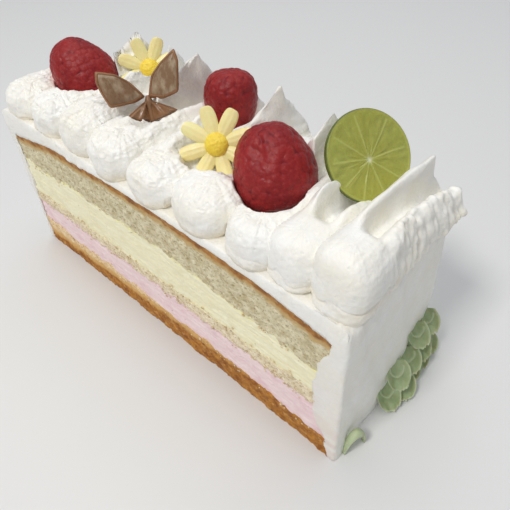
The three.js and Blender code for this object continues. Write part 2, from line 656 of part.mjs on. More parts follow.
function curlBody() {
  const rings = [];
  for (let k = 0; k <= CURL_STEPS; k++) {
    const angle = Math.PI * k / CURL_STEPS;
    const taper = 0.55 + 0.45 * Math.sin(angle);
    const ring = [];
    for (const [across, out] of [[-0.9, -0.45], [0.9, -0.45], [0.9, 0.45], [-0.9, 0.45]]) {
      const radius = CURL_RADIUS + out * taper;
      const along = -radius * Math.cos(angle);
      const aside = across * taper;
      ring.push(new THREE.Vector3(
        CURL_AT[0] + along * CURL_ALONG[0] + aside * CURL_ALONG[1],
        CURL_AT[1] + along * CURL_ALONG[1] - aside * CURL_ALONG[0],
        CURL_RISE * radius * Math.sin(angle),
      ));
    }
    rings.push(ring);
  }
  return ringBody(rings);
}

addPiece('leaf_curl', curlBody(), looks.leaf);

export default slice;
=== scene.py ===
import math

import bpy
import numpy as np
from mathutils import Matrix, Vector


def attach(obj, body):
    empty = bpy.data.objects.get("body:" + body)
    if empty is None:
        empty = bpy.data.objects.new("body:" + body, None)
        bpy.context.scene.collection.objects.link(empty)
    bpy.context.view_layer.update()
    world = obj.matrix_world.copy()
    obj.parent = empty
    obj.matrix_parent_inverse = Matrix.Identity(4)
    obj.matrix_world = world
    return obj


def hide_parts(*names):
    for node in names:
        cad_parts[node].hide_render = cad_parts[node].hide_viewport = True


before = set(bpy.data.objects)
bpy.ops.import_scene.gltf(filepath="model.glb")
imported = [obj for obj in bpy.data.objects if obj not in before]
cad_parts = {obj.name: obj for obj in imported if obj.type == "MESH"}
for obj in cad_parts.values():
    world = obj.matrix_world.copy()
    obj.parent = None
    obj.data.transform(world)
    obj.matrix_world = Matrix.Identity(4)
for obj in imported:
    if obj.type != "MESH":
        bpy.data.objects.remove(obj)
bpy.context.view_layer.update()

# The studio: a pale floor, a soft lamp high up in front, a broader one above the back and a pale
# surround. The camera looks down on the cut face and the right-hand end, as one would at a counter.
MM = 0.001
CAMERA_AT = (107.7, -90.1, 174.8)
CAMERA_AZIMUTH = math.radians(-47.92)
CAMERA_ELEVATION = math.radians(43.24)
CAMERA_ROLL = math.radians(-2.52)
CAMERA_LENS = 36.46
CAMERA_SHIFT = (-0.0145, -0.0992)
FLOOR_HALF = 1.6
FLOOR_COLOUR = (0.78, 0.78, 0.77, 1)

backwards = Vector((math.cos(CAMERA_ELEVATION) * math.cos(CAMERA_AZIMUTH),
                    math.cos(CAMERA_ELEVATION) * math.sin(CAMERA_AZIMUTH),
                    math.sin(CAMERA_ELEVATION)))
sideways = (-backwards).cross(Vector((0, 0, 1))).normalized()
upwards = sideways.cross(-backwards)
camera_x = sideways * math.cos(CAMERA_ROLL) + upwards * math.sin(CAMERA_ROLL)
camera_y = upwards * math.cos(CAMERA_ROLL) - sideways * math.sin(CAMERA_ROLL)
camera_data = bpy.data.cameras.new("camera")
camera_data.lens = CAMERA_LENS
camera_data.sensor_width = 36
camera_data.shift_x, camera_data.shift_y = CAMERA_SHIFT
camera_data.clip_start = 0.01
camera = bpy.data.objects.new("camera", camera_data)
camera.matrix_world = (Matrix.Translation(Vector(CAMERA_AT) * MM)
                       @ Matrix((camera_x, camera_y, backwards)).transposed().to_4x4())
bpy.context.collection.objects.link(camera)
bpy.context.scene.camera = camera
bpy.context.scene.view_settings.view_transform = "Standard"


def area_light(name, place, aim, size, watts, colour):
    """A square lamp at a place in metres, turned so that it shines at the aim."""
    data = bpy.data.lights.new(name, "AREA")
    data.size = size
    data.energy = watts
    data.color = colour
    lamp = bpy.data.objects.new(name, data)
    lamp.location = place
    lamp.rotation_euler = (Vector(aim) - Vector(place)).to_track_quat("-Z", "Y").to_euler()
    bpy.context.collection.objects.link(lamp)


area_light("window", (0.0, -0.49, 0.86), (0, 0, 0.05), 0.18, 4.3, (1.0, 0.985, 0.96))
area_light("ceiling", (-0.1, 0.25, 0.95), (0, 0, 0.05), 0.7, 2.5, (0.97, 0.98, 1.0))
world = bpy.data.worlds.new("surround")
bpy.context.scene.world = world
world.use_nodes = True
world.node_tree.nodes["Background"].inputs["Color"].default_value = (0.93, 0.95, 1.0, 1)
world.node_tree.nodes["Background"].inputs["Strength"].default_value = 0.37

floor_mesh = bpy.data.meshes.new("floor")
floor_mesh.from_pydata([(-FLOOR_HALF, -FLOOR_HALF, 0), (FLOOR_HALF, -FLOOR_HALF, 0),
                        (FLOOR_HALF, FLOOR_HALF, 0), (-FLOOR_HALF, FLOOR_HALF, 0)], [], [(0, 1, 2, 3)])
floor = bpy.data.objects.new("floor", floor_mesh)
bpy.context.collection.objects.link(floor)
floor_paint = bpy.data.materials.new("floor_paint")
floor_paint.use_nodes = True
floor_paint.node_tree.nodes["Principled BSDF"].inputs["Base Color"].default_value = FLOOR_COLOUR
floor_paint.node_tree.nodes["Principled BSDF"].inputs["Roughness"].default_value = 0.8
floor_mesh.materials.append(floor_paint)

# The cake itself: five layers, baked sponge and whipped fillings by turns, cut straight down with a
# wet knife. The top sponge keeps its brown crust, and the knife has dragged the fillings a little.
FRONT = -30.0
CAKE_BACK = 25.0
CAKE_HEIGHTS = 70.0
LEFT_END = [-78.4, -78, -77, -75.8, -74.4, -73, -72.4, -72]
RIGHT_END = [76.4, 75, 70.8, 69.6, 69.4, 70.6, 73.6, 75.4]
LAYERS = [
    dict(name="bottom_sponge", top=[14.2, 13.8, 13.4, 12.6, 9.6], rough=0.6, recess=0.3, ragged=1.1),
    dict(name="raspberry_cream", top=[26.9, 27.1, 27.4, 27.2, 26.9], rough=0.5, recess=0.6, ragged=1.1),
    dict(name="middle_sponge", top=[32.1, 32.4, 32.9, 33.8, 34.6], rough=0.5, recess=0.2, ragged=1.1),
    dict(name="lime_cream", top=[49.3, 50.6, 51.8, 50.2, 45.7], rough=0.7, recess=0.5, ragged=1.1),
    dict(name="top_sponge", top=[62.6, 67.4, 69.2, 69.6, 68.3, 64.4], rough=0.25, recess=0.3, ragged=0.3),
]
LAYER_STATIONS = 560
LAYER_STEP_UP = 0.3
LAYER_BEYOND = 0.006
BAKED_DEEPER = 10.0


def through(values, t):
    """Value at t, 0 to 1, among evenly spaced values: between two of them the share eases in and out."""
    values = np.asarray(values, float)
    place = np.clip(t, 0, 1) * (len(values) - 1)
    k = np.minimum(place.astype(int), len(values) - 2)
    s = place - k
    return values[k] + (values[k + 1] - values[k]) * s * s * (3 - 2 * s)


def unevenness(p, seed):
    """Three sine waves of falling size, added: between -1 and 1, and another curve for each seed."""
    return (0.5 * np.sin(p * 1.7 + seed * 2.3) + 0.3 * np.sin(p * 3.1 + seed * 5.1)
            + 0.2 * np.sin(p * 5.3 + seed * 1.9))


def chance(i, j, k, seed):
    """A number from 0 to 1 for a cell of whole numbers: they are multiplied, added and mixed by shifts."""
    h = (i * 374761393 + j * 668265263 + k * 1440662683 + seed * 974634777) & 0xFFFFFFFF
    h = ((h ^ (h >> 13)) * 1274126177) & 0xFFFFFFFF
    h = ((h ^ (h >> 16)) * 668265263) & 0xFFFFFFFF
    return ((h ^ (h >> 15)) & 0xFFFFFF) / 0xFFFFFF


def cloud(points, size, seed):
    """Soft lumps from -1 to 1. Each corner of a grid of the given size, one number or three, has its
    chance, and a point takes the eased average of the eight corners round it."""
    q = points / np.asarray(size, float)
    cell = np.floor(q).astype(np.int64)
    t = q - cell
    t = t * t * (3 - 2 * t)
    total = 0
    for di in (0, 1):
        for dj in (0, 1):
            for dk in (0, 1):
                share = ((t[:, 0] if di else 1 - t[:, 0]) * (t[:, 1] if dj else 1 - t[:, 1])
                         * (t[:, 2] if dk else 1 - t[:, 2]))
                total = total + share * chance(cell[:, 0] + di, cell[:, 1] + dj, cell[:, 2] + dk, seed)
    return 2 * total - 1


def nearest(points, size, seed):
    """Distance, in cells, to the nearest of many scattered points, one by chance in each cell."""
    q = points / np.asarray(size, float)
    cell = np.floor(q).astype(np.int64)
    best = np.full(len(points), 9.0)
    for di in (-1, 0, 1):
        for dj in (-1, 0, 1):
            for dk in (-1, 0, 1):
                i, j, k = cell[:, 0] + di, cell[:, 1] + dj, cell[:, 2] + dk
                away = ((i + chance(i, j, k, seed) - q[:, 0]) ** 2
                        + (j + chance(i, j, k, seed + 31) - q[:, 1]) ** 2
                        + (k + chance(i, j, k, seed + 67) - q[:, 2]) ** 2)
                best = np.minimum(best, away)
    return np.sqrt(best)


def tube(rings):
    """Closed skin over rings of equal length, an array (rings, points, 3): each ring is joined to the
    next, and the two ends are closed by a fan round the ring's middle."""
    count, around = rings.shape[:2]
    points = np.concatenate([rings.reshape(-1, 3), rings[:1].mean(1), rings[-1:].mean(1)])
    k, i = np.meshgrid(np.arange(count - 1), np.arange(around), indexing="ij")
    a = (k * around + i).ravel()
    b = (k * around + (i + 1) % around).ravel()
    i = np.arange(around)
    first, last = count * around, count * around + 1
    end = (count - 1) * around
    faces = [np.stack([a, b, b + around], 1), np.stack([a, b + around, a + around], 1),
             np.stack([(i + 1) % around, i, np.full(around, first)], 1),
             np.stack([end + i, end + (i + 1) % around, np.full(around, last)], 1)]
    return points, np.concatenate(faces)


def weld(points, faces):
    """One vertex where several share a place, and no face left without area. Also gives the vertices
    that were kept."""
    keys = np.round(points * 2e4).astype(np.int64)
    _, kept, index = np.unique(keys, axis=0, return_index=True, return_inverse=True)
    faces = index.ravel()[faces]
    sound = (faces[:, 0] != faces[:, 1]) & (faces[:, 1] != faces[:, 2]) & (faces[:, 0] != faces[:, 2])
    return points[kept], faces[sound], kept


def volume_of(points, faces):
    a, b, c = points[faces[:, 0]], points[faces[:, 1]], points[faces[:, 2]]
    return np.einsum("ij,ij->i", a, np.cross(b, c)).sum() / 6


def face_out(points, faces):
    """Turns all faces round where the volume that they enclose comes out negative."""
    return faces if volume_of(points, faces) > 0 else faces[:, [1, 0, 2]]


def normals_of(points, faces):
    """At each vertex the sum of its faces' cross products, made one long."""
    a, b, c = points[faces[:, 0]], points[faces[:, 1]], points[faces[:, 2]]
    cross = np.cross(b - a, c - a)
    total = np.stack([sum(np.bincount(faces[:, corner], cross[:, axis], len(points))
                          for corner in range(3)) for axis in range(3)], 1)
    return total / np.maximum(np.linalg.norm(total, axis=1, keepdims=True), 1e-12)


def make_piece(name, points, faces, material, nodes, marks=None):
    """A mesh object from millimetre points and triangles, with its marks as numbers on the vertices.
    It rides on the part, stands for the nodes and takes the material that it is given."""
    faces = face_out(points, faces)
    mesh = bpy.data.meshes.new(name)
    mesh.vertices.add(len(points))
    mesh.vertices.foreach_set("co", (points * MM).astype(np.float32).ravel())
    mesh.loops.add(faces.size)
    mesh.loops.foreach_set("vertex_index", faces.astype(np.int32).ravel())
    mesh.polygons.add(len(faces))
    mesh.polygons.foreach_set("loop_start", np.arange(0, faces.size, 3, dtype=np.int32))
    mesh.polygons.foreach_set("use_smooth", np.ones(len(faces), bool))
    mesh.update(calc_edges=True)
    for mark, values in (marks or {}).items():
        mesh.attributes.new(mark, "FLOAT", "POINT").data.foreach_set(
            "value", np.broadcast_to(values, len(points)).astype(np.float32))
    mesh.materials.append(material)
    piece = bpy.data.objects.new(name, mesh)
    bpy.context.collection.objects.link(piece)
    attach(piece, "root")
    if nodes:
        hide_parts(*nodes)
    return piece


def paint(red, green, blue):
    """A colour as seen on a screen, 0 to 255, in the linear numbers that a shader takes."""
    return tuple(((c / 255 + 0.055) / 1.055) ** 2.4 if c > 10 else c / 255 / 12.92
                 for c in (red, green, blue)) + (1.0,)


def add_node(tree, kind, values=None, **settings):
    """A node with its settings, and with each named socket set to a value or joined to a socket."""
    node = tree.nodes.new(kind)
    for key, value in settings.items():
        setattr(node, key, value)
    for key, value in (values or {}).items():
        if isinstance(value, bpy.types.NodeSocket):
            tree.links.new(value, node.inputs[key])
        else:
            node.inputs[key].default_value = value
    return node


def food_group(name, inputs, build):
    """A node group that gives one number, Mask, from the named inputs: build(tree, source) makes it."""
    tree = bpy.data.node_groups.new(name, "ShaderNodeTree")
    for key, (kind, default) in inputs.items():
        socket = tree.interface.new_socket(key, in_out="INPUT", socket_type=kind)
        if default is not None:
            socket.default_value = default
    tree.interface.new_socket("Mask", in_out="OUTPUT", socket_type="NodeSocketFloat")
    source = tree.nodes.new("NodeGroupInput")
    result = tree.nodes.new("NodeGroupOutput")
    tree.links.new(build(tree, source), result.inputs["Mask"])
    return tree


def build_mottle(tree, source):
    """Cloudy noise at a size in millimetres, spread out between the low and the high mark."""
    noise = add_node(tree, "ShaderNodeTexNoise", {
        "Vector": source.outputs["Vector"], "Scale": source.outputs["Scale"], "Detail": 4.0,
        "Roughness": 0.6})
    return add_node(tree, "ShaderNodeMapRange", {
        "Value": noise.outputs["Fac"], "From Min": source.outputs["Low"],
        "From Max": source.outputs["High"]}).outputs["Result"]


def build_specks(tree, source):
    """Round specks: where the nearest cell point is closer than the radius, the mask goes to one."""
    cells = add_node(tree, "ShaderNodeTexVoronoi", {
        "Vector": source.outputs["Vector"], "Scale": source.outputs["Scale"], "Randomness": 1.0})
    return add_node(tree, "ShaderNodeMapRange", {
        "Value": cells.outputs["Distance"], "From Min": source.outputs["Radius"],
        "From Max": 0.0}).outputs["Result"]


mottle_group = food_group("mottle", {
    "Vector": ("NodeSocketVector", None), "Scale": ("NodeSocketFloat", 100.0),
    "Low": ("NodeSocketFloat", 0.35), "High": ("NodeSocketFloat", 0.65)}, build_mottle)
specks_group = food_group("specks", {
    "Vector": ("NodeSocketVector", None), "Scale": ("NodeSocketFloat", 100.0),
    "Radius": ("NodeSocketFloat", 0.25)}, build_specks)


def object_place(tree, stretch=(1, 1, 1)):
    """The point on the object, in metres, with its axes stretched for a grain that runs one way."""
    place = add_node(tree, "ShaderNodeTexCoord").outputs["Object"]
    if stretch == (1, 1, 1):
        return place
    return add_node(tree, "ShaderNodeMapping", {"Vector": place, "Scale": stretch}).outputs["Vector"]


def use_group(tree, group, **values):
    node = tree.nodes.new("ShaderNodeGroup")
    node.node_tree = group
    for key, value in values.items():
        if isinstance(value, bpy.types.NodeSocket):
            tree.links.new(value, node.inputs[key])
        else:
            node.inputs[key].default_value = value
    return node.outputs["Mask"]


def mark_of(tree, name):
    """A number that the mesh carries on its vertices."""
    return add_node(tree, "ShaderNodeAttribute", attribute_name=name).outputs["Fac"]


def ramp(tree, value, low, high):
    """The value as a share of the way from low to high, held between 0 and 1."""
    return add_node(tree, "ShaderNodeMapRange", {
        "Value": value, "From Min": low, "From Max": high}).outputs["Result"]


def sum_of(tree, first, second, operation="ADD"):
    node = tree.nodes.new("ShaderNodeMath")
    node.operation = operation
    for socket, value in zip(node.inputs, (first, second)):
        if isinstance(value, bpy.types.NodeSocket):
            tree.links.new(value, socket)
        else:
            socket.default_value = value
    return node.outputs["Value"]


def blend(tree, share, first, second):
    """First colour where the share is 0, second where it is 1."""
    node = add_node(tree, "ShaderNodeMix", data_type="RGBA")
    colours = [socket for socket in node.inputs if socket.type == "RGBA"]
    for socket, value in ((node.inputs["Factor"], share), (colours[0], first), (colours[1], second)):
        if isinstance(value, bpy.types.NodeSocket):
            tree.links.new(value, socket)
        else:
            socket.default_value = value
    return [socket for socket in node.outputs if socket.type == "RGBA"][0]


def finish_material(name, colour, roughness, height, depth, **constants):
    """A material from a build of its colour, roughness and height: each is a function of the tree that
    gives a socket. The depth is the bump's in millimetres, and the constants go on the shader."""
    material = bpy.data.materials.new(name)
    material.use_nodes = True
    tree = material.node_tree
    shader = tree.nodes["Principled BSDF"]
    tree.links.new(colour(tree), shader.inputs["Base Color"])
    tree.links.new(roughness(tree), shader.inputs["Roughness"])
    bump = add_node(tree, "ShaderNodeBump", {"Height": height(tree), "Distance": depth * MM})
    tree.links.new(bump.outputs["Normal"], shader.inputs["Normal"])
    for key, value in constants.items():
        shader.inputs[key.replace("_", " ")].default_value = value
    return material


def level(k, t):
    """Height of the top of layer k at the share t of the length: its eased curve, its slow waves and
    the small rags that the knife and the crumb leave."""
    if k < 0:
        return np.zeros_like(t)
    layer = LAYERS[k]
    along = np.stack([t * 150, np.zeros_like(t), np.full_like(t, 9.0 * k)], -1).reshape(-1, 3)
    rags = (0.5 * cloud(along, 5.0, 80 + k) + 0.6 * cloud(along, 2.2, 40 + k)
            + 0.4 * cloud(along, 0.8, 60 + k)).reshape(t.shape)
    return through(layer["top"], t) + layer["rough"] * unevenness(t * 11, k + 1) + layer["ragged"] * rags


def cake_x(t, z):
    """Place along the cake: the share t between the two ends, which lean in and out with the height."""
    height = np.clip(z, 0, CAKE_HEIGHTS) / CAKE_HEIGHTS
    left = through(LEFT_END, height)
    return left + (through(RIGHT_END, height) - left) * t


def crumb_relief(points, seed):
    """Cut sponge: soft lumps, less the round holes of two sizes. Gives the relief and how deep in a
    hole the point is, 0 to 1."""
    wide = np.clip(1 - nearest(points, (1.9, 1.9, 1.3), seed) / 0.40, 0, 1)
    fine = np.clip(1 - nearest(points, (0.95, 0.95, 0.75), seed + 1) / 0.42, 0, 1)
    lumps = cloud(points, 1.3, seed + 2)
    swell = cloud(points, 5.0, seed + 3)
    return 0.22 * lumps + 0.2 * swell - 0.42 * wide - 0.2 * fine, np.maximum(wide, 0.6 * fine)


def filling_relief(points, seed):
    """Cut filling: long streaks along the cut, faint swells, small curds, and a few holes."""
    streaks = cloud(points, (11.0, 9.0, 0.9), seed)
    fine = cloud(points, (4.0, 9.0, 0.5), seed + 1)
    swell = cloud(points, 4.0, seed + 2)
    holes = np.clip(1 - nearest(points, (5.0, 5.0, 3.6), seed + 3) / 0.09, 0, 1)
    curds = 1 - np.abs(cloud(points, (2.2, 2.2, 1.2), seed + 4)) * 2
    return 0.16 * streaks + 0.08 * fine + 0.12 * swell + 0.14 * curds - 0.5 * holes, holes


def layer_surface(k):
    """A layer as a profile carried along the cake: up the cut face, back over the top, down the back
    and forward underneath. The cut face is fine, the rest is inside and coarse."""
    layer = LAYERS[k]
    thickness = np.mean(layer["top"]) - (np.mean(LAYERS[k - 1]["top"]) if k else 0)
    rows = int(thickness / LAYER_STEP_UP)
    up = np.concatenate([np.linspace(0, 1, rows), np.ones(4), [0.5], np.zeros(4)])
    back = np.concatenate([np.zeros(rows), [0.03, 0.1, 0.5, 1], [1], [1, 0.5, 0.1, 0.03]])
    t = np.linspace(-LAYER_BEYOND, 1 + LAYER_BEYOND, LAYER_STATIONS)[:, None] * np.ones_like(up)
    bottom, top = level(k - 1, t), level(k, t)
    z = bottom + (top - bottom) * up
    front = FRONT + layer["recess"] + 0.2 * unevenness(t * 19, k + 7)
    rings = np.stack([cake_x(t, z), front + (CAKE_BACK - front) * back, z], -1)
    points, faces = tube(rings)
    face = np.concatenate([(back[None, :] * np.ones_like(t)).ravel() == 0, [False, False]])
    relief, hole = (crumb_relief if "sponge" in layer["name"] else filling_relief)(points, 100 + 10 * k)
    down = np.concatenate([(top - z).ravel(), [0, 0]])
    baked = BAKED_DEEPER if layer["name"] == "bottom_sponge" else 0
    lift = np.concatenate([(z - bottom - baked * t).ravel(), [0, 0]])
    if layer["name"] == "top_sponge":
        relief = relief * np.clip(down / 3 - 0.3, 0.15, 1)
    points[face, 1] -= relief[face]
    # hole: how deep in a pore each point of the cut face lies; the colour darkens there as painted shade
    return points, faces, dict(hole=np.where(face, hole, 0), down=down, lift=lift)


# The last colour is painted shade: the holes and the fine pore specks of the cut sponge take it, where shade
# falls into them.
def sponge_colour(light, dark, hole_shade):
    def build(tree):
        place = object_place(tree)
        mix = blend(tree, use_group(tree, mottle_group, Vector=place, Scale=420.0), light, dark)
        mix = blend(tree, use_group(tree, specks_group, Vector=place, Scale=900.0, Radius=0.3), mix, hole_shade)
        return blend(tree, ramp(tree, mark_of(tree, "hole"), 0.05, 0.9), mix, hole_shade)
    return build


def crusted_colour(crumb, soft, crust, scorched, depth, blur, mark):
    """Crumb colour, turning over the blur into the crust's, which is mottled and has darker spots."""
    def build(tree):
        place = object_place(tree)
        waver = use_group(tree, mottle_group, Vector=place, Scale=260.0, Low=0.3, High=0.7)
        edge = sum_of(tree, mark_of(tree, mark), sum_of(tree, waver, -1.6, "MULTIPLY"))
        baked = blend(tree, use_group(tree, mottle_group, Vector=place, Scale=330.0), crust, scorched)
        flecks = use_group(tree, mottle_group, Vector=place, Scale=480.0, Low=0.56, High=0.66)
        baked = blend(tree, sum_of(tree, flecks, 0.5, "MULTIPLY"), baked, soft)
        inner = blend(tree, ramp(tree, edge, depth + blur, depth + 2.4 * blur), soft, crumb(tree))
        return blend(tree, ramp(tree, edge, depth - blur, depth + blur * 0.3), baked, inner)
    return build


# The last colour is painted shade in the holes of the cut filling.
def filling_colour(main, pale, deep, hole_shade):
    def build(tree):
        streak_place = object_place(tree, (0.12, 1, 1))
        mix = blend(tree, use_group(tree, mottle_group, Vector=streak_place, Scale=900.0), main, pale)
        mix = blend(tree, use_group(tree, mottle_group, Vector=object_place(tree), Scale=160.0,
                                    Low=0.5, High=0.8), mix, deep)
        curds = use_group(tree, mottle_group, Vector=object_place(tree, (0.6, 1, 1)), Scale=700.0, Low=0.5,
                          High=0.75)
        mix = blend(tree, sum_of(tree, curds, 0.4, "MULTIPLY"), mix, deep)
        return blend(tree, mark_of(tree, "hole"), mix, hole_shade)
    return build


def smeared(base, smear, depth, mark):
    """The base colour, with uneven patches of another that the knife dragged over one edge: the mark
    is the distance from that edge."""
    def build(tree):
        waver = use_group(tree, mottle_group, Vector=object_place(tree, (0.4, 1, 1)), Scale=300.0)
        edge = sum_of(tree, mark_of(tree, mark), sum_of(tree, waver, -2 * depth, "MULTIPLY"))
        share = sum_of(tree, ramp(tree, edge, 0.6 - depth, 0.0 - depth), 0.85, "MULTIPLY")
        return blend(tree, share, base(tree), smear)
    return build


def even_roughness(low, high, scale):
    def build(tree):
        mask = use_group(tree, mottle_group, Vector=object_place(tree), Scale=scale)
        return add_node(tree, "ShaderNodeMapRange", {
            "Value": mask, "To Min": low, "To Max": high}).outputs["Result"]
    return build


def noise_height(scale, stretch=(1, 1, 1)):
    def build(tree):
        return use_group(tree, mottle_group, Vector=object_place(tree, stretch), Scale=scale,
                         Low=0.2, High=0.8)
    return build


# Painted shade: the third colour of each sponge look, and the last of each filling look, darkens the holes and
# pores.
crumb_look = sponge_colour(paint(238, 228, 196), paint(204, 190, 149), paint(152, 134, 92))
middle_look = sponge_colour(paint(255, 242, 212), paint(228, 209, 172), paint(176, 150, 106))
base_look = sponge_colour(paint(255, 232, 188), paint(236, 202, 152), paint(196, 148, 92))
LAYER_LOOKS = {
    "bottom_sponge": (crusted_colour(base_look, paint(224, 178, 108), paint(204, 141, 56),
                                     paint(150, 88, 30), 4.2, 1.6, "lift"), 0.75, 0.95, 700.0),
    "raspberry_cream": (filling_colour(paint(250, 221, 223), paint(255, 233, 233), paint(237, 199, 205),
                                       paint(176, 120, 126)), 0.5, 0.65, 500.0),
    "middle_sponge": (smeared(smeared(middle_look, paint(248, 238, 196), 1.0, "down"),
                              paint(238, 206, 204), 0.8, "lift"), 0.8, 0.95, 700.0),
    "lime_cream": (smeared(filling_colour(paint(255, 247, 207), paint(255, 252, 220),
                                          paint(242, 232, 190), paint(190, 176, 120)),
                           paint(255, 249, 182), 1.2, "down"), 0.5, 0.65, 500.0),
    "top_sponge": (smeared(crusted_colour(crumb_look, paint(204, 172, 116), paint(190, 132, 64),
                                          paint(140, 88, 38), 2.1, 0.8, "down"),
                           paint(246, 238, 194), 1.3, "lift"), 0.8, 0.95, 700.0),
}

for k, layer in enumerate(LAYERS):
    name = layer["name"]
    colour, low, high, scale = LAYER_LOOKS[name]
    surface = layer_surface(k)
    material = finish_material(name + "_look", colour, even_roughness(low, high, 300.0),
                               noise_height(scale), 0.25 if "sponge" in name else 0.1)
    make_piece(name + "_cut", surface[0], surface[1], material, [name],
               surface[2])

# Whipped cream spread over the ends, the back and the top with a palette knife, in one skin. At the
# cut its edge is open, and there the knife has smeared a little pink filling into it.
TOP = 71.5
HALF = 80.0
BACK = 30.0
LEFT_FLARE, LEFT_LEAN = 2.0, 5.0
RIGHT_FOOT, RIGHT_LEAN = 79.7, 1.3
CORNER, EDGE = 6.0, 2.2
SIDE_POINTS, ARC_POINTS, BACK_POINTS = 66, 12, 96
WALL_ROWS, ROUND_ROWS, CEILING_ROWS, STRIP_ROWS, TOP_ROWS = 82, 8, 4, 12, 34
COAT_WAVE = 0.5
FRONT_ROUND = 1.2


def coat_path():
    """The way round the coat, left front corner to right front corner, as shares: x is a share of the
    left and of the right end plus an offset, y a share of the front and of the back plus an offset."""
    one = np.ones(SIDE_POINTS)
    s = np.linspace(0, 1, SIDE_POINTS) ** 1.6
    turn = np.linspace(0, np.pi / 2, ARC_POINTS + 2)[1:-1]
    b = np.linspace(0, 1, BACK_POINTS)
    arc, flat = np.ones(ARC_POINTS), np.ones(BACK_POINTS)
    rows = [np.stack([one, 0 * s, 0 * s, 1 - s, s, -CORNER * s, -one, 0 * s]),
            np.stack([arc, 0 * arc, CORNER * (1 - np.cos(turn)), 0 * arc, arc,
                      CORNER * (np.sin(turn) - 1), -np.cos(turn), np.sin(turn)]),
            np.stack([1 - b, b, CORNER * (1 - 2 * b), 0 * b, flat, 0 * b, 0 * b, flat]),
            np.stack([0 * arc, arc, -CORNER * (1 - np.sin(turn)), 0 * arc, arc,
                      CORNER * (np.cos(turn) - 1), np.sin(turn), np.cos(turn)]),
            np.stack([0 * s, one, 0 * s, 1 - s, s, -CORNER * s, one, 0 * s])[:, ::-1]]
    return np.concatenate(rows, 1)


def coat_surface():
    """For each place on the way round, one closed profile: up the inside wall, forward under the top
    to the cut, up the front edge, back over the top, down the outside and home along the bottom."""
    path = coat_path()
    count = path.shape[1]
    way = np.linspace(0, 1, count)[:, None]
    to_left, to_right, x_offset, to_front, to_back, y_offset, nx, ny = [row[:, None] for row in path]

    front_t = 0.004 + 0.992 * way
    low = level(4, front_t) + 0.05
    end_low = np.where(way < 0.5, low[0], low[-1])

    def set_back(z, start):
        rise = np.clip((z - start) / (TOP - start), 0, 1)
        return FRONT_ROUND * (1 - np.sqrt(1 - rise ** 2))

    def outside(z, inset):
        rise = z / TOP
        left = -HALF - LEFT_FLARE + LEFT_LEAN * rise ** 0.8
        right = RIGHT_FOOT - RIGHT_LEAN * rise
        back = BACK - 1.5 * rise
        x = to_left * left + to_right * right + x_offset
        y = to_front * FRONT + to_back * back + y_offset
        y = y + set_back(z, end_low) * np.clip(1 - (y - FRONT) / 6, 0, 1)
        near = np.clip(1 - (y - FRONT) / FRONT_ROUND, 0, 1)
        inset = inset + FRONT_ROUND * (1 - np.sqrt(1 - near ** 2)) * (nx * nx)
        wave = COAT_WAVE * unevenness((x + 1.3 * y) / 7 + z / 16, 4) * np.minimum(1, (TOP - z) / 4)
        wave = wave * np.clip((y - FRONT) / 6, 0, 1)
        return np.stack([x + nx * (wave - inset), y + ny * (wave - inset), z + 0 * x], -1)

    corner_left = (SIDE_POINTS + ARC_POINTS / 2) / count
    knots = [0, corner_left, 1 - corner_left, 1]
    inner_t = np.interp(way, knots, [0, 0, 1, 1])
    inner_y = np.interp(way, knots, [FRONT, CAKE_BACK, CAKE_BACK, FRONT])
    ceiling = level(4, inner_t) + 0.05
    wall = np.linspace(0, 1, WALL_ROWS - CEILING_ROWS - STRIP_ROWS + ROUND_ROWS)[None, :]
    z = wall * ceiling
    near_cut = np.clip((FRONT + 3 - inner_y) / 3, 0, 1) * np.where(way < 0.5, -1, 1)
    smear = (0.5 * unevenness(z / 4, 6) + 0.4 * unevenness(z / 1.3, 9)) * near_cut * (z < ceiling - 1.5)
    inner = np.stack([cake_x(inner_t, z) + smear, inner_y + 0 * z, z], -1)
    share = np.linspace(0, 1, CEILING_ROWS + 2)[None, 1:-1]
    t = inner_t + (front_t - inner_t) * share
    ceiling_z = level(4, t) + 0.05
    under = np.stack([cake_x(t, ceiling_z), inner_y + (FRONT - inner_y) * share, ceiling_z], -1)
    share = np.linspace(0, 1, STRIP_ROWS)[None, :]
    strip_z = low + (TOP - low) * np.sin(share * np.pi / 2)
    strip = np.stack([cake_x(front_t, low) + 0 * share, FRONT + set_back(strip_z, low), strip_z], -1)
    angle = np.linspace(0, np.pi / 2, ROUND_ROWS)[None, :]
    rounded = outside(TOP - EDGE + EDGE * np.cos(angle), EDGE * (1 - np.sin(angle)))
    down = outside(np.linspace(TOP - EDGE, 0, WALL_ROWS + 1)[None, 1:] + 0 * way, 0)
    shares = (np.linspace(0, 1, TOP_ROWS + 2)[1:-1] ** 1.4)[None, :, None]
    over = strip[:, -1:] + (rounded[:, :1] - strip[:, -1:]) * shares
    home = down[:, -1:] + (inner[:, :1] - down[:, -1:]) * (1 - shares[:, ::-1])
    rings = np.concatenate([inner, under, strip, over, rounded, down, home], 1)
    points, faces = tube(rings)
    points, faces = points[:-2], faces[(faces < count * rings.shape[1]).all(1)]
    inside = np.concatenate([inner, under, strip], 1)
    outer = np.concatenate([rounded, down], 1)[:, ::-1]
    for end in (0, count - 1):
        columns = np.concatenate([[0], shares.ravel(), [1]])[None, :, None]
        grid = inside[end][:, None] + (outer[end] - inside[end])[:, None] * columns
        grid[..., 1] = FRONT + set_back(grid[..., 2], low[end])
        rows, width = grid.shape[:2]
        j, i = np.meshgrid(np.arange(rows - 1), np.arange(width - 1), indexing="ij")
        a = (j * width + i).ravel() + len(points)
        cap = np.concatenate([np.stack([a, a + 1, a + 1 + width], 1),
                              np.stack([a, a + 1 + width, a + width], 1)])
        faces = np.concatenate([faces, cap if end == 0 else cap[:, ::-1]])
        points = np.concatenate([points, grid.reshape(-1, 3)])
    return points, faces


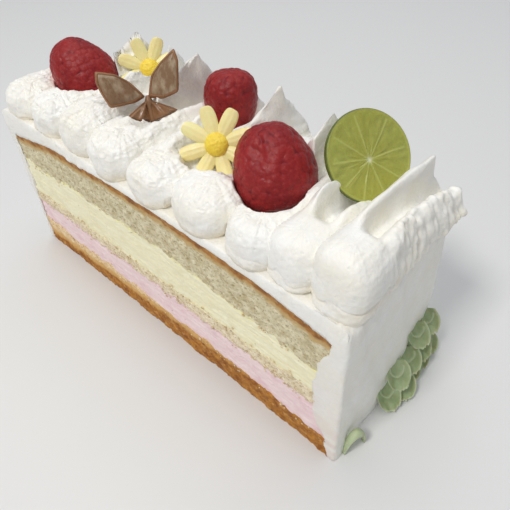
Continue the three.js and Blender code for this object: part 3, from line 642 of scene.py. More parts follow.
def spread_relief(points, normals):
    """Spread cream: broad swells, long faint strokes of the palette knife, and a fine drag grain."""
    strokes = cloud(points, (2.6, 4.0, 12.0), 301)
    grain = cloud(points, (0.9, 0.9, 3.2), 302)
    swell = cloud(points, 13.0, 303)
    lumps = np.clip(cloud(points, 3.4, 304) - 0.45, 0, 1)
    near_edge = np.clip(1 - np.abs(points[:, 2] - TOP + 2) / 7, 0, 1)
    rough = np.clip((points[:, 0] - 70) / 6, 0, 1) * (0.3 + 0.7 * near_edge)
    return (0.22 * strokes + 0.09 * grain + 0.35 * swell + (0.4 + 1.2 * near_edge) * lumps
            + rough * (0.4 * cloud(points, (3.0, 2.2, 4.5), 305) + 0.2 * cloud(points, (1.1, 0.9, 2.6), 306)))


def cream_colour(tree):
    """Whipped cream: nearly white, with faint warm and faint cool clouds, pink where the cut smeared
    it, a red stain where juice ran and a warm painted shade in the creases and low between the shells."""
    place = object_place(tree)
    mix = blend(tree, use_group(tree, mottle_group, Vector=place, Scale=90.0, Low=0.35, High=0.75),
                paint(252, 251, 246), paint(248, 243, 228))
    mix = blend(tree, use_group(tree, mottle_group, Vector=place, Scale=700.0, Low=0.45, High=0.95),
                mix, paint(240, 239, 234))
    # Painted shade: a warm darker tint in the creases and low between the shells, where shade falls.
    mix = blend(tree, mark_of(tree, "crease_shade"), mix, paint(246, 231, 203))
    mix = blend(tree, mark_of(tree, "pink"), mix, paint(240, 222, 214))
    return blend(tree, mark_of(tree, "juice"), mix, paint(214, 120, 116))


cream_look = finish_material("whipped_cream_look", cream_colour, even_roughness(0.38, 0.6, 240.0),
                             noise_height(1100.0), 0.14, Subsurface_Weight=0.12,
                             Subsurface_Radius=(1.0, 0.9, 0.8), Subsurface_Scale=0.003)
points, faces = coat_surface()
points, faces, _ = weld(points, faces)
faces = face_out(points, faces)
normals = normals_of(points, faces)
points = points + normals * (spread_relief(points, normals) * np.clip(points[:, 2] / 3, 0, 1))[:, None]
points[:, 2] = np.maximum(points[:, 2], 0)
pink = np.clip((-points[:, 1] - 29.0) / 0.6, 0, 1) * np.clip(1.1 - points[:, 2] / 46, 0, 1)
pink = pink * (0.5 + 0.5 * cloud(points, (5, 5, 2.5), 310))
make_piece("spread_cream_coat", points, faces, cream_look, ["cream_coat"],
           dict(pink=np.clip(pink, 0, 1), crease_shade=0, juice=0))

# Nine shells of whipped cream, piped side by side from the cut edge to the back. Each starts as a
# round bulb, the first three on a small foot, and is drawn back in two ridges to a tip. The first
# was smoothed with the knife, the others were piped from a stiffer cream and are torn and wrinkled.
SHELL_FRONT = -28.5
SHELL_DEPTH = 55.0
SHELL_FOOT = 71.8
RIDGES_START, RIDGES_OPEN, TIP_PLACE = 0.22, 0.34, 0.8
THINNEST = 3.0
SUNK = 0.8
SHELLS = [
    dict(x=71.2, half=8.6, start=0, bulb=17.8, slant=3.2, left=[18.6, 19, 18, 16.4],
         right=[18, 17, 15, 9], valley=5.5, foot=0.7, wrinkle=0.12),
    dict(x=57.5, half=8.2, start=0, bulb=14, slant=1, left=[14, 16.5, 8.5, 6],
         right=[14, 13.5, 7.5, 5], valley=5, foot=0.45, wrinkle=0.18),
    dict(x=44.5, half=9, start=-1.5, bulb=11.5, slant=1, left=[11.5, 13, 17, 21],
         right=[11.5, 11, 11, 9], valley=4, foot=0.35, wrinkle=0.30),
    dict(x=25, half=11, start=-1.5, bulb=11.5, slant=2, left=[11.5, 13, 17, 22],
         right=[11.5, 11, 11, 9], valley=4, foot=0, wrinkle=0.36),
    dict(x=6, half=10.2, start=-2, bulb=10.5, slant=5, left=[11, 12, 15, 19],
         right=[10.5, 10, 10, 9], valley=4, foot=0, wrinkle=0.42),
    dict(x=-13.5, half=9.8, start=-2, bulb=12, slant=7, left=[12, 13, 17, 22],
         right=[12, 11.5, 11, 9], valley=4, foot=0, wrinkle=0.44),
    dict(x=-31, half=9.4, start=-0.5, bulb=12.5, slant=9, left=[12.5, 13, 17, 21.5],
         right=[12, 11.5, 11, 9], valley=4, foot=0, wrinkle=0.44),
    dict(x=-48.5, half=10, start=-0.5, bulb=11.5, slant=12, left=[11.5, 12, 15, 21],
         right=[11.5, 10, 10, 9], valley=3, foot=0, wrinkle=0.46),
    dict(x=-67, half=10, start=-0.5, bulb=9, slant=8, left=[9, 8.5, 6.5, 4.5],
         right=[9, 8.5, 6, 4.5], valley=1.5, foot=0, wrinkle=0.46),
]
BULB = np.array([[-0.86, 0], [-0.97, 0.22], [-0.99, 0.5], [-0.85, 0.77], [-0.6, 0.93], [-0.3, 0.99], [0, 1],
                 [0.3, 0.99], [0.6, 0.93], [0.85, 0.77], [0.99, 0.5], [0.97, 0.22], [0.86, 0]])
RIDGES = np.array([-0.95, -1, -0.93, -0.74, -0.5, -0.34, -0.1, 0.2, 0.42, 0.62, 0.86, 1, 0.95])
LEFT_SHARES = np.array([0, 0.26, 0.48, 0.74, 0.95, 1])
WALL = np.array([-0.95, -1, -0.93, -0.74, -0.48, -0.3, -0.2, 0.14, 0.36, 0.58, 0.86, 1, 0.95])
WALL_SHARES = np.array([0, 0.26, 0.48, 0.74, 1, 0.98])
WALL_TIP = 0.89
HEM_PLACE, HEM_DROP = 0.93, 9.0
RIGHT_SHARES = np.array([0.96, 1, 0.72, 0.4, 0])
NOSE_RINGS, BODY_RINGS, SECTION_POINTS = 70, 130, 170
# What is pressed into the shells, and the way that it came
PRESSED_FROM = np.array([0.14, -0.48, 0.86])
PRESS = 16.0
JUICE_REACH = 1.6
BERRIES = [
    dict(at=(-57.7, -3, 81.6), axis=(-0.5, -0.14, 0.8), radius=12.1, length=25),
    dict(at=(2, 13.8, 81.8), axis=(0.1, -0.15, -1), radius=9.4, length=23),
    dict(at=(34.8, -4.1, 83.4), axis=(-0.4, 0.2, 0.85), radius=12.7, length=24.5,
         folds=[((37.7, -11.9, 92.5), (33.5, -14.8, 89.3), 0.7, 0.6),
                ((37.7, -11.9, 92.5), (33.7, -7.9, 95.0), 0.7, 0.6),
                ((35.1, -11.7, 93.1), (36.4, -11.8, 92.8), 2.6, 1.1)]),
]
DAISIES = [
    dict(at=(-39.9, 14.1, 81), normal=(0.725, -0.516, 0.454), turn=18),
    dict(at=(14.9, -6.2, 83), normal=(0.415, -0.703, 0.573), turn=21),
]
BUTTERFLY_AT = (-17, -5, 83)
BUTTERFLY_NORMAL = (0.71, -0.484, 0.512)
WING_EDGE, WING_RISE = 1.1, 1.3
LEFT_SLOPE, RIGHT_SLOPE = 0.35, 0.6
WINGS = [
    dict(slope=LEFT_SLOPE, outline=[(-0.6, 3.4), (-4.5, 8.7), (-8.5, 11.8), (-14.3, 13.5), (-14.8, 9.9),
                                    (-14, 6.6), (-12.2, 1.5), (-4.2, 2)], ribs=0),
    dict(slope=RIGHT_SLOPE, outline=[(0, 3), (4.7, 1.8), (9.9, 3.1), (11.6, 12.7), (11, 16.7), (6, 13.3),
                                     (2.3, 9.8)], ribs=0),
    dict(slope=LEFT_SLOPE, outline=[(-0.5, 2.6), (-8.3, -2.2), (-4.7, -4.2), (0, -4.8)], ribs=7),
    dict(slope=RIGHT_SLOPE, outline=[(0, 2.6), (-0.4, -5), (6.5, -3.4), (8.8, -2.2)], ribs=7),
]


def facing(at, normal):
    """Rows of a frame whose z axis is the normal and whose y axis points as far up as it can."""
    z = np.asarray(normal, float) / np.linalg.norm(normal)
    x = np.cross((0, 0, 1), z)
    x = x / np.linalg.norm(x)
    return np.asarray(at, float), np.stack([x, np.cross(z, x), z])


def put(local, at, axes):
    return at + local @ axes


def spline(values, t):
    """Smooth line through evenly spaced values, t from 0 to 1: a cubic between each two, whose slope
    at a value is half the step between its neighbours."""
    values = np.asarray(values, float)
    place = np.clip(t, 0, 1) * (len(values) - 1)
    k = np.minimum(place.astype(int), len(values) - 2)
    s = (place - k).reshape(k.shape + (1,) * (values.ndim - 1))
    a, b = values[np.maximum(k - 1, 0)], values[k]
    c, d = values[k + 1], values[np.minimum(k + 2, len(values) - 1)]
    return b + 0.5 * s * ((c - a) + s * (2 * a - 5 * b + 4 * c - d + s * (3 * (b - c) + d - a)))


def shell_surface(shell, seed, walled):
    """Rings across the stroke from the nose to the tail. Each ring is the bulb's outline, easing into
    the two ridges with the valley between, and its size follows a round nose and a low, round tail.
    A walled shell's left ridge is an even wall that stands further back and ends square, and its right
    side hangs over the coat's end in a thin hem, as the palette knife left it."""
    tip = WALL_TIP if walled else TIP_PLACE
    places, shares = (WALL, WALL_SHARES) if walled else (RIDGES, LEFT_SHARES)
    nose_end = shell["half"] / SHELL_DEPTH
    turn = np.linspace(0.04, np.pi / 2, NOSE_RINGS)
    s = np.concatenate([(1 - np.cos(turn)) * nose_end, np.linspace(nose_end, 0.998, BODY_RINGS)[1:]])
    blend_in = np.clip((s - RIDGES_START) / (RIDGES_OPEN - RIDGES_START), 0, 1)
    blend_in = blend_in * blend_in * (3 - 2 * blend_in)
    along = (s - RIDGES_START) / (tip - RIDGES_START)
    left, right = spline(shell["left"], along), spline(shell["right"], along)
    floor_height = np.maximum(np.minimum(left, right) - shell["valley"], THINNEST)
    ridged = np.concatenate([shares[:, None] * left, floor_height[None], floor_height[None],
                             RIGHT_SHARES[:, None] * right])
    across = BULB[:, :1] + (places[:, None] - BULB[:, :1]) * blend_in
    height = BULB[:, 1:] * shell["bulb"] * (1 - blend_in) + ridged * blend_in
    t = np.linspace(0, 1, SECTION_POINTS)
    across, height = spline(across, t), np.maximum(spline(height, t), 0)
    nose = 1 - np.minimum(s / nose_end, 1)
    girth = (1 - nose ** 2.5) ** 0.4
    front = (1 - nose ** 3.4) ** (1 / 3.4)
    behind = np.maximum(s - tip, 0) / (1 - tip)
    tail = np.sqrt(np.clip(1 - np.clip((s - 0.93) / 0.07, 0, 1) ** 2, 0.02, 1))
    fall = (1 + (0.28 - 1) * behind ** (0.4 if walled else 0.8)) * tail
    half = (shell["half"] + 0.4 * unevenness(s * 7, seed)) * girth * (1 - 0.25 * behind) * tail
    x = shell["x"] + shell["slant"] * np.maximum(s - RIDGES_START, 0) + across * half
    y = SHELL_FRONT + shell["start"] * (1 - s) + SHELL_DEPTH * s + 0 * x
    up = height * fall * front
    edge = (t < 1e-6) | (t > 1 - 1e-6)
    up = np.where(edge[:, None], -SUNK, up)
    if walled:
        hem = np.clip((t - HEM_PLACE) / (1 - HEM_PLACE), 0, 1)[:, None] * np.clip(s / 0.12, 0, 1)
        hem = hem * np.clip((1 - s) / 0.06, 0, 1)
        up = up - HEM_DROP * hem * (1 + 0.3 * unevenness(s * 16, 3))
        coat_x = RIGHT_FOOT - RIGHT_LEAN
        x = x + (coat_x + 0.5 - 1.3 * hem - x) * np.clip(hem * 2.5, 0, 1)
    rings = np.stack([x, y, SHELL_FOOT + up], -1).transpose(1, 0, 2)
    share = np.repeat(s, SECTION_POINTS)
    place = np.tile(t, len(s))
    return rings, np.append(share, [0, 1]), np.append(place, [0.5, 0.5])


def give_way(points, balls):
    """Lowers cream that lies in the way of a topping. Each ball (place, radius) of the topping is swept
    forwards and up, and no point is left higher than the lowest point of that sweep above its place:
    dz z^2 - 2 h z + rest = r^2 for the sweep's side, and the ball's own underside."""
    x_way, y_way, z_way = PRESSED_FROM / np.linalg.norm(PRESSED_FROM)
    for place, radius in balls:
        x, y = points[:, 0] - place[0], points[:, 1] - place[1]
        h = x * x_way + y * y_way
        slope = 1 - z_way ** 2
        inside = (h * z_way) ** 2 - slope * (x * x + y * y - h * h - radius ** 2)
        side = (h * z_way - np.sqrt(np.maximum(inside, 0))) / slope
        reach = h + side * z_way
        side = np.where((inside > 0) & (reach > 0) & (reach < PRESS), side, 99)
        flat = radius ** 2 - x * x - y * y
        under = np.where(flat > 0, -np.sqrt(np.maximum(flat, 0)), 99)
        limit = np.minimum(side, under) + place[2]
        points[:, 2] = np.minimum(points[:, 2], np.maximum(limit, SHELL_FOOT - SUNK))


def juice_near(points):
    """How stained the cream is: most against a berry's side, none from JUICE_REACH away."""
    stain = np.zeros(len(points))
    for berry in BERRIES:
        at, axes = facing(berry["at"], berry["axis"])
        local = (points - at) @ axes.T / (berry["radius"], berry["radius"], berry["length"] / 2)
        away = np.abs(np.linalg.norm(local, axis=1) - 0.93) * berry["radius"]
        stain = np.maximum(stain, np.clip(1 - away / JUICE_REACH, 0, 1))
    return stain * np.clip(0.5 + cloud(points, 3.0, 390), 0, 1)


def cream_relief(points, shell, share, seed):
    """Piped cream: a foot that bulges below a fine crease, pleats that run down the round front, folds
    and fine strokes on the rest, a torn lip on top and scattered small pits. All but the foot and the
    pits grow with the shell's wrinkle."""
    above = points[:, 2] - SHELL_FOOT
    nose = np.clip((0.42 - share) / 0.2, 0, 1)
    waver = 1.8 * cloud(points, (4, 4, 40), seed + 5)
    lumps = 0.7 + 0.6 * cloud(points, 2.4, seed + 6)
    foot = (0.75 * lumps * np.exp(-((above - 1.3) / 1.3) ** 2)
            - 0.75 * np.exp(-((above - 3.3 - waver) / 0.45) ** 2)) * shell["foot"] * nose
    middle_y = SHELL_FRONT + shell["half"]
    turn = np.arctan2(points[:, 0] - shell["x"], np.maximum(middle_y - points[:, 1], 0.5))
    down_front = np.stack([turn * shell["half"], above, points[:, 1] * 0.25], -1)
    pleats = 1 - np.abs(cloud(down_front, (2.6, 10.0, 10.0), seed)) * 2
    fine_pleats = cloud(down_front, (0.9, 5.0, 5.0), seed + 1)
    folds = 1 - np.abs(cloud(points, (4.5, 4.5, 3.0), seed + 7)) * 2
    strokes = cloud(points, (0.8, 7.0, 1.0), seed + 2)
    swell = cloud(points, 5.5, seed + 3)
    pits = np.clip(1 - nearest(points, 2.4, seed + 4) / 0.16, 0, 1)
    calm = np.clip(above / 0.8, 0, 1)
    torn = 1 - np.abs(cloud(points, (2.2, 2.2, 1.8), seed + 11)) * 2
    fine_torn = 1 - np.abs(cloud(points, (1.0, 1.0, 0.8), seed + 12)) * 2
    lip = np.clip((above - 0.6 * shell["bulb"]) / 2.5, 0, 1) * np.clip((0.62 - share) / 0.15, 0, 1)
    foot = foot + 0.4 * shell["foot"] * nose * torn * np.exp(-((above - 1.6) / 1.6) ** 2)
    body = (shell["wrinkle"] * (0.75 * pleats + 0.5 * fine_pleats + 0.75 * folds)
            + lip * max(shell["wrinkle"] - 0.2, 0) * (1.2 * torn + 0.9 * fine_torn) + 0.08 * strokes
            + (0.25 + 0.6 * shell["wrinkle"]) * swell - 0.3 * pits)
    return foot + body * calm


balls = []
for berry in BERRIES:
    for place, radius in ((0.22, 0.76), (-0.12, 0.9), (-0.36, 0.76)):
        along = np.array(berry["axis"]) / np.linalg.norm(berry["axis"]) * place * berry["length"]
        balls.append((np.array(berry["at"]) + along, berry["radius"] * radius))
for daisy in DAISIES:
    at, axes = facing(daisy["at"], daisy["normal"])
    balls.append((put(np.array([0, 0, 1.5]), at, axes), 4.4))
    for i in range(16):
        turn = math.radians(daisy["turn"] + 22.5 * i)
        for reach in (5.5, 9.0):
            balls.append((put(np.array([reach * math.cos(turn), reach * math.sin(turn), 1.2]), at, axes), 2.8))
at, axes = facing(BUTTERFLY_AT, BUTTERFLY_NORMAL)
for wing in WINGS:
    corners = np.array(wing["outline"])
    middle = corners.mean(0)
    for corner in np.concatenate([middle + (corners - middle) * 0.72, [middle]]):
        height = abs(corner[0]) * wing["slope"]
        balls.append((put(np.array([corner[0], corner[1], height]), at, axes), 1.7))

for up in (-4.0, -1.0, 2.0, 4.5):
    balls.append((put(np.array([0, up, 0]), at, axes), 2.2))

for k, shell in enumerate(SHELLS):
    seed = 400 + 20 * k
    rings, share, place = shell_surface(shell, k, k == 0)
    points, faces = tube(rings)
    faces = face_out(points, faces)
    normals = normals_of(points, faces)
    relief = cream_relief(points, shell, share, seed)
    if k == 0:
        drag = np.clip((place - 0.62) / 0.12, 0, 1) * np.clip((share - 0.12) / 0.2, 0, 1)
        ripples = 0.75 * cloud(points, (1.4, 1.0, 4.0), seed + 8) + 0.6 * cloud(points, (3, 2.6, 3), seed + 9)
        ragged_end = np.clip((share - 0.7) / 0.2, 0, 1) * cloud(points, (3.4, 3.4, 2.6), seed + 10)
        relief = relief + drag * (ripples + 0.8 * ragged_end)
    above = points[:, 2] - SHELL_FOOT
    give_way(points, balls)
    pressed = np.clip((above + SHELL_FOOT - points[:, 2]) / 2, 0, 1)
    points = points + normals * (relief * (1 - 0.85 * pressed))[:, None]
    points[:, 2] = np.maximum(points[:, 2], SHELL_FOOT - (1.4 * HEM_DROP if k == 0 else SUNK))
    # Painted shade: a warm darker tint along the small groove above the foot and low on the sides, between the
    # shells.
    crease_shade = np.exp(-((above - 3.3) / 0.8) ** 2) * np.clip((0.4 - share) / 0.2, 0, 1) * shell["foot"] * 0.3
    beside = np.clip((np.abs(place - 0.5) - 0.33) / 0.1, 0, 1) * np.clip(1 - above / 8, 0, 1)
    make_piece(f"cream_shell_{k + 1}", points, faces, cream_look, [f"piped_shell_{k + 1}"],
               dict(crease_shade=np.clip(crease_shade + (0.6 - 0.5 * shell["foot"]) * beside, 0, 1), pink=0,
                                       juice=0.6 * juice_near(points)))

# Three fresh raspberries, pressed into the cream, two on their base and one on its tip. Each is a
# blunt dome of small round drupelets, closely and unevenly set, matt with a fine down.
DRUPELET_PITCH = 2.1
DRUPELET_RISE = 0.44
BERRY_TAPER = 0.19
BERRY_RINGS, BERRY_AROUND = 190, 290


def berry_outline(berry, angle):
    """Distance from the axis and place along it for an angle from the tip: a blunt egg."""
    girth = np.sin(angle) ** 0.72 * (0.9 - BERRY_TAPER * np.cos(angle))
    return berry["radius"] * girth, berry["length"] / 2 * np.cos(angle)


def berry_surface(berry, seed):
    """The blunt egg, raised over each drupelet by a round cap about its middle. The middles are
    scattered points, one by chance in each cell of the pitch. The cap falls with the square of the
    distance from its middle, and broad soft swells bend the whole. Where the berry was pressed in,
    its folds, lines of a width and a depth, are taken off."""
    angle = np.linspace(0.03, np.pi - 0.03, BERRY_RINGS)
    out, along = berry_outline(berry, angle)
    turn = np.linspace(0, 2 * np.pi, BERRY_AROUND, endpoint=False)
    rings = np.stack([out[:, None] * np.cos(turn), out[:, None] * np.sin(turn),
                      along[:, None] + 0 * turn], -1)
    points, faces = tube(rings)
    away = nearest(points, DRUPELET_PITCH, seed)
    crown = np.clip(1.1 - 1.25 * away ** 2, 0, 1)
    normals = normals_of(points, face_out(points, faces))
    swell = 0.35 * cloud(points, 7.0, seed + 9)
    placed = put(points, *facing(berry["at"], berry["axis"]))
    for start, end, wide, deep in berry.get("folds", []):
        run = np.subtract(end, start)
        share = np.clip((placed - start) @ run / (run @ run), 0, 1)
        away = np.linalg.norm(placed - start - share[:, None] * run, axis=1)
        swell = swell - deep * np.exp(-(away / wide) ** 2)
    points = points + normals * (DRUPELET_RISE * (crown - 0.5) + swell)[:, None]
    return put(points, *facing(berry["at"], berry["axis"])), faces, crown


def berry_colour(tree):
    """Raspberry skin: muted red crowns with paler and deeper ones among them, and painted shade in the joints
    between the drupelets.
    """
    place = object_place(tree)
    mix = blend(tree, use_group(tree, mottle_group, Vector=place, Scale=130.0), paint(153, 37, 37),
                paint(134, 28, 32))
    mix = blend(tree, use_group(tree, mottle_group, Vector=place, Scale=900.0, Low=0.5, High=0.9), mix,
                paint(172, 56, 53))
    # Painted shade: darker red where the drupelet caps fall away into the joints between them.
    return blend(tree, ramp(tree, mark_of(tree, "crown"), 0.5, 0.0), mix, paint(114, 21, 26))


berry_look = finish_material("raspberry_look", berry_colour, even_roughness(0.3, 0.5, 500.0),
                             noise_height(1600.0), 0.1, Specular_IOR_Level=0.3, Subsurface_Weight=0.12,
                             Subsurface_Radius=(1.0, 0.25, 0.2), Subsurface_Scale=0.002)
for k, berry in enumerate(BERRIES):
    points, faces, crown = berry_surface(berry, 50 + k)
    sunk = points[:, 2] < SHELL_FOOT
    points[sunk, 2] = SHELL_FOOT
    points, faces, kept = weld(points, faces)
    make_piece(f"fresh_raspberry_{k + 1}", points, faces, berry_look, [f"raspberry_{k + 1}"],
               dict(crown=crown[kept]))

# Two daisies moulded in pale white chocolate: eight grooved petals on a flat hub, cupped forward,
# and a round centre in deep yellow, stuck on with a drop of the same.
DAISY_RADIUS = 11.6
PETAL_WIDTH, PETAL_THICKNESS, PETAL_CUP = 5.6, 2.2, 1.6
CENTRE_RADIUS, CENTRE_HEIGHT = 3.5, 2.6
GAP = 0.3


def petal_surface(turn):
    """Oval rings along the petal, wide near the end, bent forward with the square of the way out. On
    the front the skin sinks in three grooves that run from the hub to the end."""
    s = np.linspace(0.01, 0.99, 44)[:, None]
    around = np.linspace(0, 2 * np.pi, 48, endpoint=False)[None, :]
    inner = 1.5
    along = inner + (DAISY_RADIUS - inner) * (1 - np.cos(np.pi * s)) / 2
    width = PETAL_WIDTH / 2 * np.sin(np.pi * s) ** 0.6 * (0.62 + 0.46 * s)
    thick = PETAL_THICKNESS / 2 * np.sin(np.pi * s) ** 0.5
    side = np.cos(around)
    grooves = 0.12 * (0.5 + 0.5 * np.cos(3 * np.pi * side)) * (np.sin(around) > 0) * np.sin(np.pi * s)
    x = along + 0 * around
    y = width * side
    z = PETAL_CUP * s * s + (thick - grooves) * np.sin(around)
    c, d = math.cos(turn), math.sin(turn)
    return tube(np.stack([x * c - y * d, x * d + y * c, z], -1))


def round_surface(profile, sides):
    """A profile of (radius, height) carried round the z axis."""
    profile = np.asarray(profile, float)
    turn = np.linspace(0, 2 * np.pi, sides, endpoint=False)
    return tube(np.stack([profile[:, :1] * np.cos(turn), profile[:, :1] * np.sin(turn),
                          profile[:, 1:] + 0 * turn], -1))


def joined(parts):
    """Several closed skins as one mesh."""
    points, faces, count = [], [], 0
    for part_points, part_faces in parts:
        points.append(part_points)
        faces.append(face_out(part_points, part_faces) + count)
        count += len(part_points)
    return np.concatenate(points), np.concatenate(faces)


def petal_colour(tree):
    mix = blend(tree, use_group(tree, mottle_group, Vector=object_place(tree), Scale=120.0),
                paint(249, 238, 172), paint(241, 225, 156))
    return blend(tree, use_group(tree, mottle_group, Vector=object_place(tree), Scale=900.0, Low=0.5,
                                 High=0.9), mix, paint(250, 240, 190))


def centre_colour(tree):
    return blend(tree, use_group(tree, mottle_group, Vector=object_place(tree), Scale=500.0),
                 paint(252, 226, 84), paint(244, 208, 66))


petal_look = finish_material("white_chocolate_look", petal_colour, even_roughness(0.3, 0.45, 300.0),
                             noise_height(900.0), 0.08, Subsurface_Weight=0.1,
                             Subsurface_Scale=0.002)
centre_look = finish_material("yellow_chocolate_look", centre_colour, even_roughness(0.35, 0.5, 300.0),
                              noise_height(1200.0), 0.15)
for k, daisy in enumerate(DAISIES):
    at, axes = facing(daisy["at"], daisy["normal"])
    petals = [petal_surface(math.radians(daisy["turn"] + 45 * i)) for i in range(8)]
    hub = round_surface([(0.2, -1.1), (2.6, -1.1), (3.2, -0.8), (3.3, 0.1), (3.2, 0.5), (2, 0.6),
                         (0.2, 0.6)], 48)
    points, faces = joined(petals + [hub])
    points = put(points, at, axes)
    points[:, 2] = np.maximum(points[:, 2], SHELL_FOOT)
    points, faces, _ = weld(points, faces)
    make_piece(f"daisy_{k + 1}_petal_ring", points, faces, petal_look, [f"daisy_{k + 1}_petals"])
    bend = np.linspace(0, np.pi / 2 - 0.03, 30)
    base = PETAL_THICKNESS / 4 + GAP
    dome = [(CENTRE_RADIUS * 0.5, base - 0.4), (CENTRE_RADIUS * 0.98, base - 0.4)]
    dome += [(CENTRE_RADIUS * math.cos(a), base + CENTRE_HEIGHT * 0.92 * math.sin(a)) for a in bend]
    points, faces = round_surface(dome, 72)
    normals = normals_of(points, face_out(points, faces))
    dots = np.clip(1 - nearest(points, 0.85, 70 + k) / 0.75, 0, 1)
    points = put(points + normals * (0.22 * dots)[:, None], at, axes)
    make_piece(f"daisy_{k + 1}_button", points, faces, centre_look, [f"daisy_{k + 1}_centre"])

# A butterfly moulded in milk chocolate: four wings with bevelled edges and a flat raised middle, on a
# slim body. It is glossy from the mould; its flat faces are greyer with paler streaks, partly where it
# has bloomed from handling and partly a painted reflection of the gloss.
TRUNK = [(0.5, -4.9), (0.9, -3.6), (0.9, -0.6), (1.3, 1.8), (0.6, 3.8)]
TRUNK_FORWARD = 0.4
WING_ROOT = (0, 3.4)
RIB_HEIGHT = 0.3


def dense_outline(outline, step=0.35):
    """Points along the outline's straight sides at even steps, with each corner cut twice first."""
    corners = np.asarray(outline, float)
    for cut in (0.09, 0.22):
        after = np.roll(corners, -1, 0)
        corners = np.stack([corners + (after - corners) * cut, after + (corners - after) * cut], 1)
        corners = corners.reshape(-1, 2)
    after = np.roll(corners, -1, 0)
    lengths = np.linalg.norm(after - corners, axis=1)
    starts = np.concatenate([[0], np.cumsum(lengths)])
    at = np.linspace(0, starts[-1], int(starts[-1] / step), endpoint=False)
    closed = np.concatenate([corners, corners[:1]])
    return np.stack([np.interp(at, starts, closed[:, 0]), np.interp(at, starts, closed[:, 1])], 1)


def wing_surface(wing):
    """Copies of the outline, drawn in towards its middle: the back, the rounded rim with a narrow
    ridge and a groove behind it, and the face, which climbs to its middle. Also how far each point
    turns greyer and streaked, partly as bloomed chocolate and partly as a painted reflection of the
    gloss: the plain wings' faces, and hardly the ribbed ones'."""
    outline = dense_outline(wing["outline"])
    middle = np.mean(wing["outline"], 0)
    half = WING_EDGE / 2
    top = half + WING_RISE
    steps = np.array([(0.3, -half, 0), (0.9, -half, 0), (0.985, -half * 0.8, 0), (1.0, -half * 0.2, 0),
                      (0.995, half * 0.5, 0), (0.97, half, 0), (0.93, half + 0.25, 0),
                      (0.9, half + 0.45, 0), (0.87, half + 0.45, 0), (0.85, half + 0.3, 0.2),
                      (0.81, half + 0.5, 1), (0.62, top - 0.15, 1), (0.3, top, 1), (0.04, top, 1)])
    reach, height, bloom_and_sheen = (np.interp(np.linspace(0, len(steps) - 1, 66), np.arange(len(steps)), column)
                            for column in steps.T)
    flat = middle + (outline - middle)[None] * reach[:, None, None]
    from_root = flat - np.array(WING_ROOT)
    ribs = np.cos(np.arctan2(from_root[..., 0], -from_root[..., 1]) * wing["ribs"] * 2)
    rib_height = RIB_HEIGHT * (wing["ribs"] > 0) * (height > 0)[:, None]
    z = height[:, None] + np.abs(flat[..., 0]) * wing["slope"] + rib_height * (ribs - 1)
    points, faces = tube(np.concatenate([flat, z[..., None]], -1))
    bloom_and_sheen = bloom_and_sheen * (0.2 if wing["ribs"] else 1)
    return points, faces, np.append(np.repeat(bloom_and_sheen, len(outline)), [0, 1])


def chocolate_colour(tree):
    """Milk chocolate, mottled. On the flat faces it is duller and greyer, with paler streaks: partly bloomed
    chocolate and partly a painted reflection of the gloss.
    """
    place = object_place(tree)
    mix = blend(tree, use_group(tree, mottle_group, Vector=place, Scale=110.0), paint(158, 114, 76),
                paint(122, 82, 52))
    # Paler grey streaks on the flat faces: partly bloomed chocolate, partly a painted reflection of the gloss.
    streaks = use_group(tree, mottle_group, Vector=object_place(tree, (1, 1, 0.4)), Scale=300.0,
                        Low=0.46, High=0.68)
    bloom_and_sheen_colour = blend(tree, streaks, paint(132, 102, 74), paint(180, 160, 134))
    return blend(tree, mark_of(tree, "bloom_and_sheen"), mix, bloom_and_sheen_colour)


chocolate_look = finish_material("milk_chocolate_look", chocolate_colour,
                                 even_roughness(0.22, 0.5, 200.0), noise_height(400.0), 0.12)
at, axes = facing(BUTTERFLY_AT, BUTTERFLY_NORMAL)
ring_places = np.linspace(0, 1, 48)
trunk_profile = np.stack([spline([radius for radius, _ in TRUNK], ring_places),
                          spline([up for _, up in TRUNK], ring_places)], 1)
trunk_points, trunk_faces = round_surface(trunk_profile, 32)
trunk_points = np.stack([trunk_points[:, 0], trunk_points[:, 2],
                         TRUNK_FORWARD - trunk_points[:, 1]], 1)
wing_surfaces = [wing_surface(wing) for wing in WINGS]
points, faces = joined([surface[:2] for surface in wing_surfaces] + [(trunk_points, trunk_faces)])
# The body takes a little of the same greying: bloomed chocolate and painted reflection.
bloom_and_sheen = np.concatenate([surface[2] for surface in wing_surfaces] + [np.full(len(trunk_points), 0.3)])
points = put(points, at, axes)
points[:, 2] = np.maximum(points[:, 2], SHELL_FOOT)
points, faces, kept = weld(points, faces)
make_piece("moulded_butterfly", points, faces, chocolate_look, ["chocolate_butterfly"],
           {"bloom_and_sheen": bloom_and_sheen[kept]})

# A round of fresh lime, cut thin and stood on edge in the cream: nine segments of wet flesh between
# pale skins that meet at a small white core, inside a narrow green peel.
LIME_AT = (56.3, 10, 88.6)
LIME_NORMAL = (0.69, -0.29, 0.66)
LIME_RADIUS, LIME_THICKNESS, PEEL = 12.9, 1.8, 0.6
LIME_CORE = np.array([-0.4, -1.0])
LIME_SKINS = np.array([(-0.7, 11.1), (8.4, 7.6), (10.9, -0.9), (7.7, -9.3), (0.8, -11), (-5.9, -10.7),
                       (-9.4, -5.6), (-10.9, 1.2), (-8.3, 7.5)])


def lime_surface():
    """A disc's profile carried round: face, rounded peel, other face. On the faces the flesh swells
    in drops that point at the core, and each skin stands up as a narrow ridge."""
    half = LIME_THICKNESS / 2
    flesh = half - 0.25
    radii = np.linspace(0.2, LIME_RADIUS - PEEL * 1.3, 56)
    turn = np.linspace(-np.pi / 2, np.pi / 2, 15)
    face = np.stack([radii, np.full(56, flesh)], 1)
    rim = np.stack([LIME_RADIUS - PEEL * 0.75 + PEEL * 0.75 * np.cos(turn), half * np.sin(turn)], 1)
    return round_surface(np.concatenate([face * (1, -1), rim, face[::-1]]), 330)


